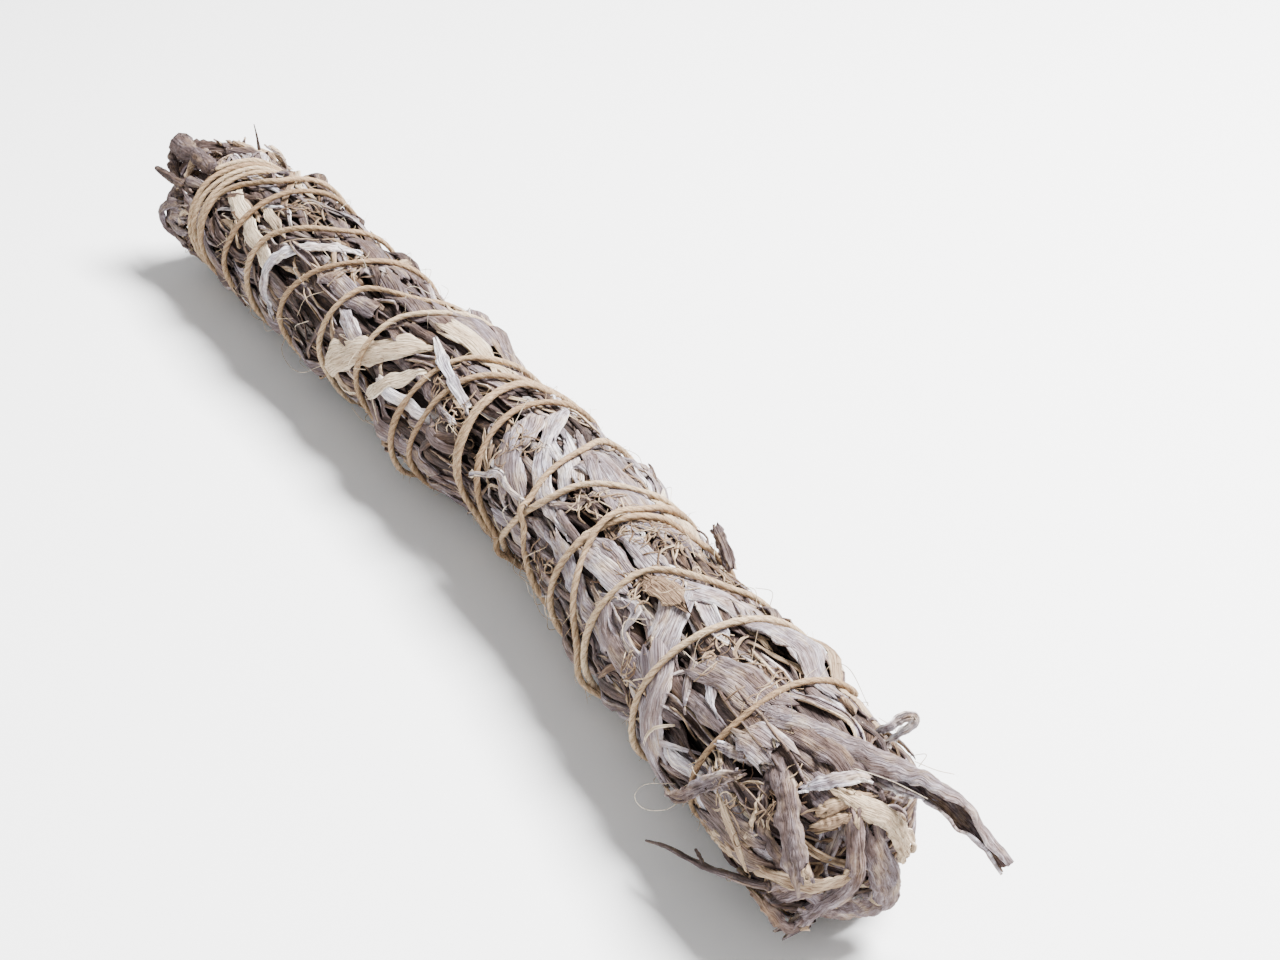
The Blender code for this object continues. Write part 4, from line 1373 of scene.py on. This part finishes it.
near_face = across_the_face(64, 1, (0.34, 0.14), (1.8, 5.0), (1.6, 5.5)) + listed_in_the_round(NEAR_FACE)
mesh_of_grids("near_face_strips", near_face, "weathered_bark", thickness=0.5)
near_tan = across_the_face(22, 1, (0.3, 0.15), (0.8, 2.4), (1.0, 5.0)) + listed_in_the_round(NEAR_FACE_TAN)
mesh_of_grids("near_face_tan_strips", near_tan, "inner_bark", thickness=0.4)
far_face = across_the_face(60, -1, (0.42, 0.14), (1.8, 4.6))
mesh_of_grids("far_face_strips", far_face, "weathered_bark", thickness=0.5)

# %% [markdown]
# At the far end a knobbed twig lies bent over the bundle, with a stub and a thorn beside it, and strips
# curl back under the first turns of twine. Rods with a changing girth make the knob, which is simpler
# than sculpting it.

# %% The far end
mesh_of_grids("far_end_knob", [
    round_twig([(-137, 121, 16.6), (-144, 122, 17.6), (-151, 126, 18.2), (-156, 126, 17.8),
                (-159, 124, 16.8)], (4.2, 4.6, 5.6, 6.4, 5.0), 0.44, rows=50),
    round_twig([(-157, 128, 17.6), (-156, 138, 17.6), (-153, 148, 16.4), (-148, 155, 14.6)],
               (4.6, 4.4, 3.6, 3.0), 0.40),
    round_twig([(-154, 118, 17.0), (-151, 110, 15.2), (-149, 84, 13.2), (-147.5, 55, 12.8), (-144, 33, 13.6),
                (-139, 22, 14.0)], (4.6, 4.0, 3.4, 3.4, 2.8), 0.36, rows=60),
], "weathered_bark", ["far_knob"], closed=True, finishes=[bark])
mesh_of_grids("far_end_stub", [
    round_twig([(-142, 150, 17.6), (-150, 151, 20.0), (-156, 152, 21)], (3.0, 2.6, 1.6), 0.30),
], "twig", ["far_stub"], closed=True)
mesh_of_grids("far_thorn", [
    round_twig([(-138, 72, 17), (-139.5, 75, 21), (-140, 78, 24.6)], (1.0, 0.3), 0.3, rows=16),
], "twig", ["thorn"], closed=True)
FAR_CURLS = (
    ("curl on the left", [(-138, 162, 18.6), (-145, 169, 20.8), (-150, 184, 21.4), (-150, 200, 20.6),
                          (-144, 214, 19.0)], 4.4, 1.3, 0.42),
    ("inner curl", [(-136, 186, 18.6), (-143, 190, 20.0), (-149, 186, 19.6), (-152, 170, 17.6),
                    (-153, 150, 15)], 3.4, 1.2, 0.54),
    ("lower curl", [(-140, 226, 18.6), (-147, 222, 19.8), (-152, 210, 18.6), (-154, 190, 14.6)],
     3.8, 1.3, 0.40),
    ("wide fold", [(-138, 174, 18.2), (-145, 180, 19.4), (-149, 192, 18.6), (-150, 208, 16.4)],
     6.0, 1.0, 0.50),
    ("second wide fold", [(-139, 196, 18.2), (-146, 192, 18.6), (-150, 178, 17.2), (-151, 160, 14.6)],
     5.6, 1.0, 0.36),
    ("fold under the knob", [(-139, 148, 18.0), (-146, 150, 18.2), (-150, 162, 16.8), (-152, 182, 14)],
     5.0, 1.2, 0.44),
    ("sheet behind the knob", [(-144, 116, 16.8), (-149, 127, 17.3), (-151.5, 141, 16.8), (-150, 160, 15.6)],
     9.0, 0.5, 0.34),
    ("sheet below the knob", [(-144, 150, 17.6), (-149, 159, 17.4), (-151, 170, 16.8), (-149, 186, 16.6)],
     7.0, 0.8, 0.36),
)
mesh_of_grids("far_end_curls", listed_in_the_round(FAR_CURLS), "weathered_bark", thickness=0.6)

# %% [markdown]
# ## Hairs
#
# A few hairs stand off the bundle and catch the light against the white. They could be curves, but a
# ribbon grid is enough for something so thin, and it is kept when the model is exported.

# %% Hairs in loose arcs
HAIR_POINTS = 22
HAIR_ABOVE_TABLE = 0.15
SHOWN_HAIRS = (
    [(123, 196, 19), (121, 202, 22.5), (118, 201, 24.5), (116, 196, 24.5), (117, 191, 22), (121, 189, 19)],
    [(-74, 196, 18.5), (-72, 201, 22), (-67, 206, 23.5), (-61, 205, 21.5), (-57, 200, 18.5)],
    [(139, 104, 19), (137.5, 101, 22.5), (136, 99, 26)],
    [(152, 92, 17.5), (158, 80, 18), (163, 66, 17.5)],
    [(148, 30, 18), (151, 24, 20), (152, 17, 22.5)],
    [(96, 128, 19), (94, 136, 21), (97, 142, 22), (101, 146, 20)],
)


def hair_grid(places, half_width):
    along, angle, radius = np.asarray(places, float).T
    line = through(spot(along, angle, radius + outline(along, angle)), HAIR_POINTS)
    line[:, 2] = np.maximum(line[:, 2], HAIR_ABOVE_TABLE * MM)
    across = np.cross(np.gradient(line, axis=0), chance.normal(0, 1, 3))
    across /= np.linalg.norm(across, axis=1, keepdims=True)
    width = half_width * MM * np.linspace(1, 0.4, HAIR_POINTS)
    return ribbon_grid(line, across, width, chance.uniform(0.6, 1.0))


def random_hairs(count):
    grids = []
    for _ in range(count):
        x, angle = chance.uniform(-145, 152), chance.uniform(-60, 240)
        length, turn = chance.uniform(3, 9), chance.normal(0, 14)
        peak = 18.3 + chance.uniform(0.8, 2.6)
        side = chance.choice([-1, 1])
        end = (x + side * length, angle + turn, 18.2 + chance.uniform(-0.4, 1.6))
        middle = (x + side * length * 0.35, angle + turn * 0.4, peak)
        grids.append(hair_grid([(x, angle, 17.8), middle, end], 0.07))
    return grids


hairs = [hair_grid(places, 0.08) for places in SHOWN_HAIRS] + random_hairs(110)
mesh_of_grids("loose_hairs", hairs, "inner_bark", thickness=0.1)
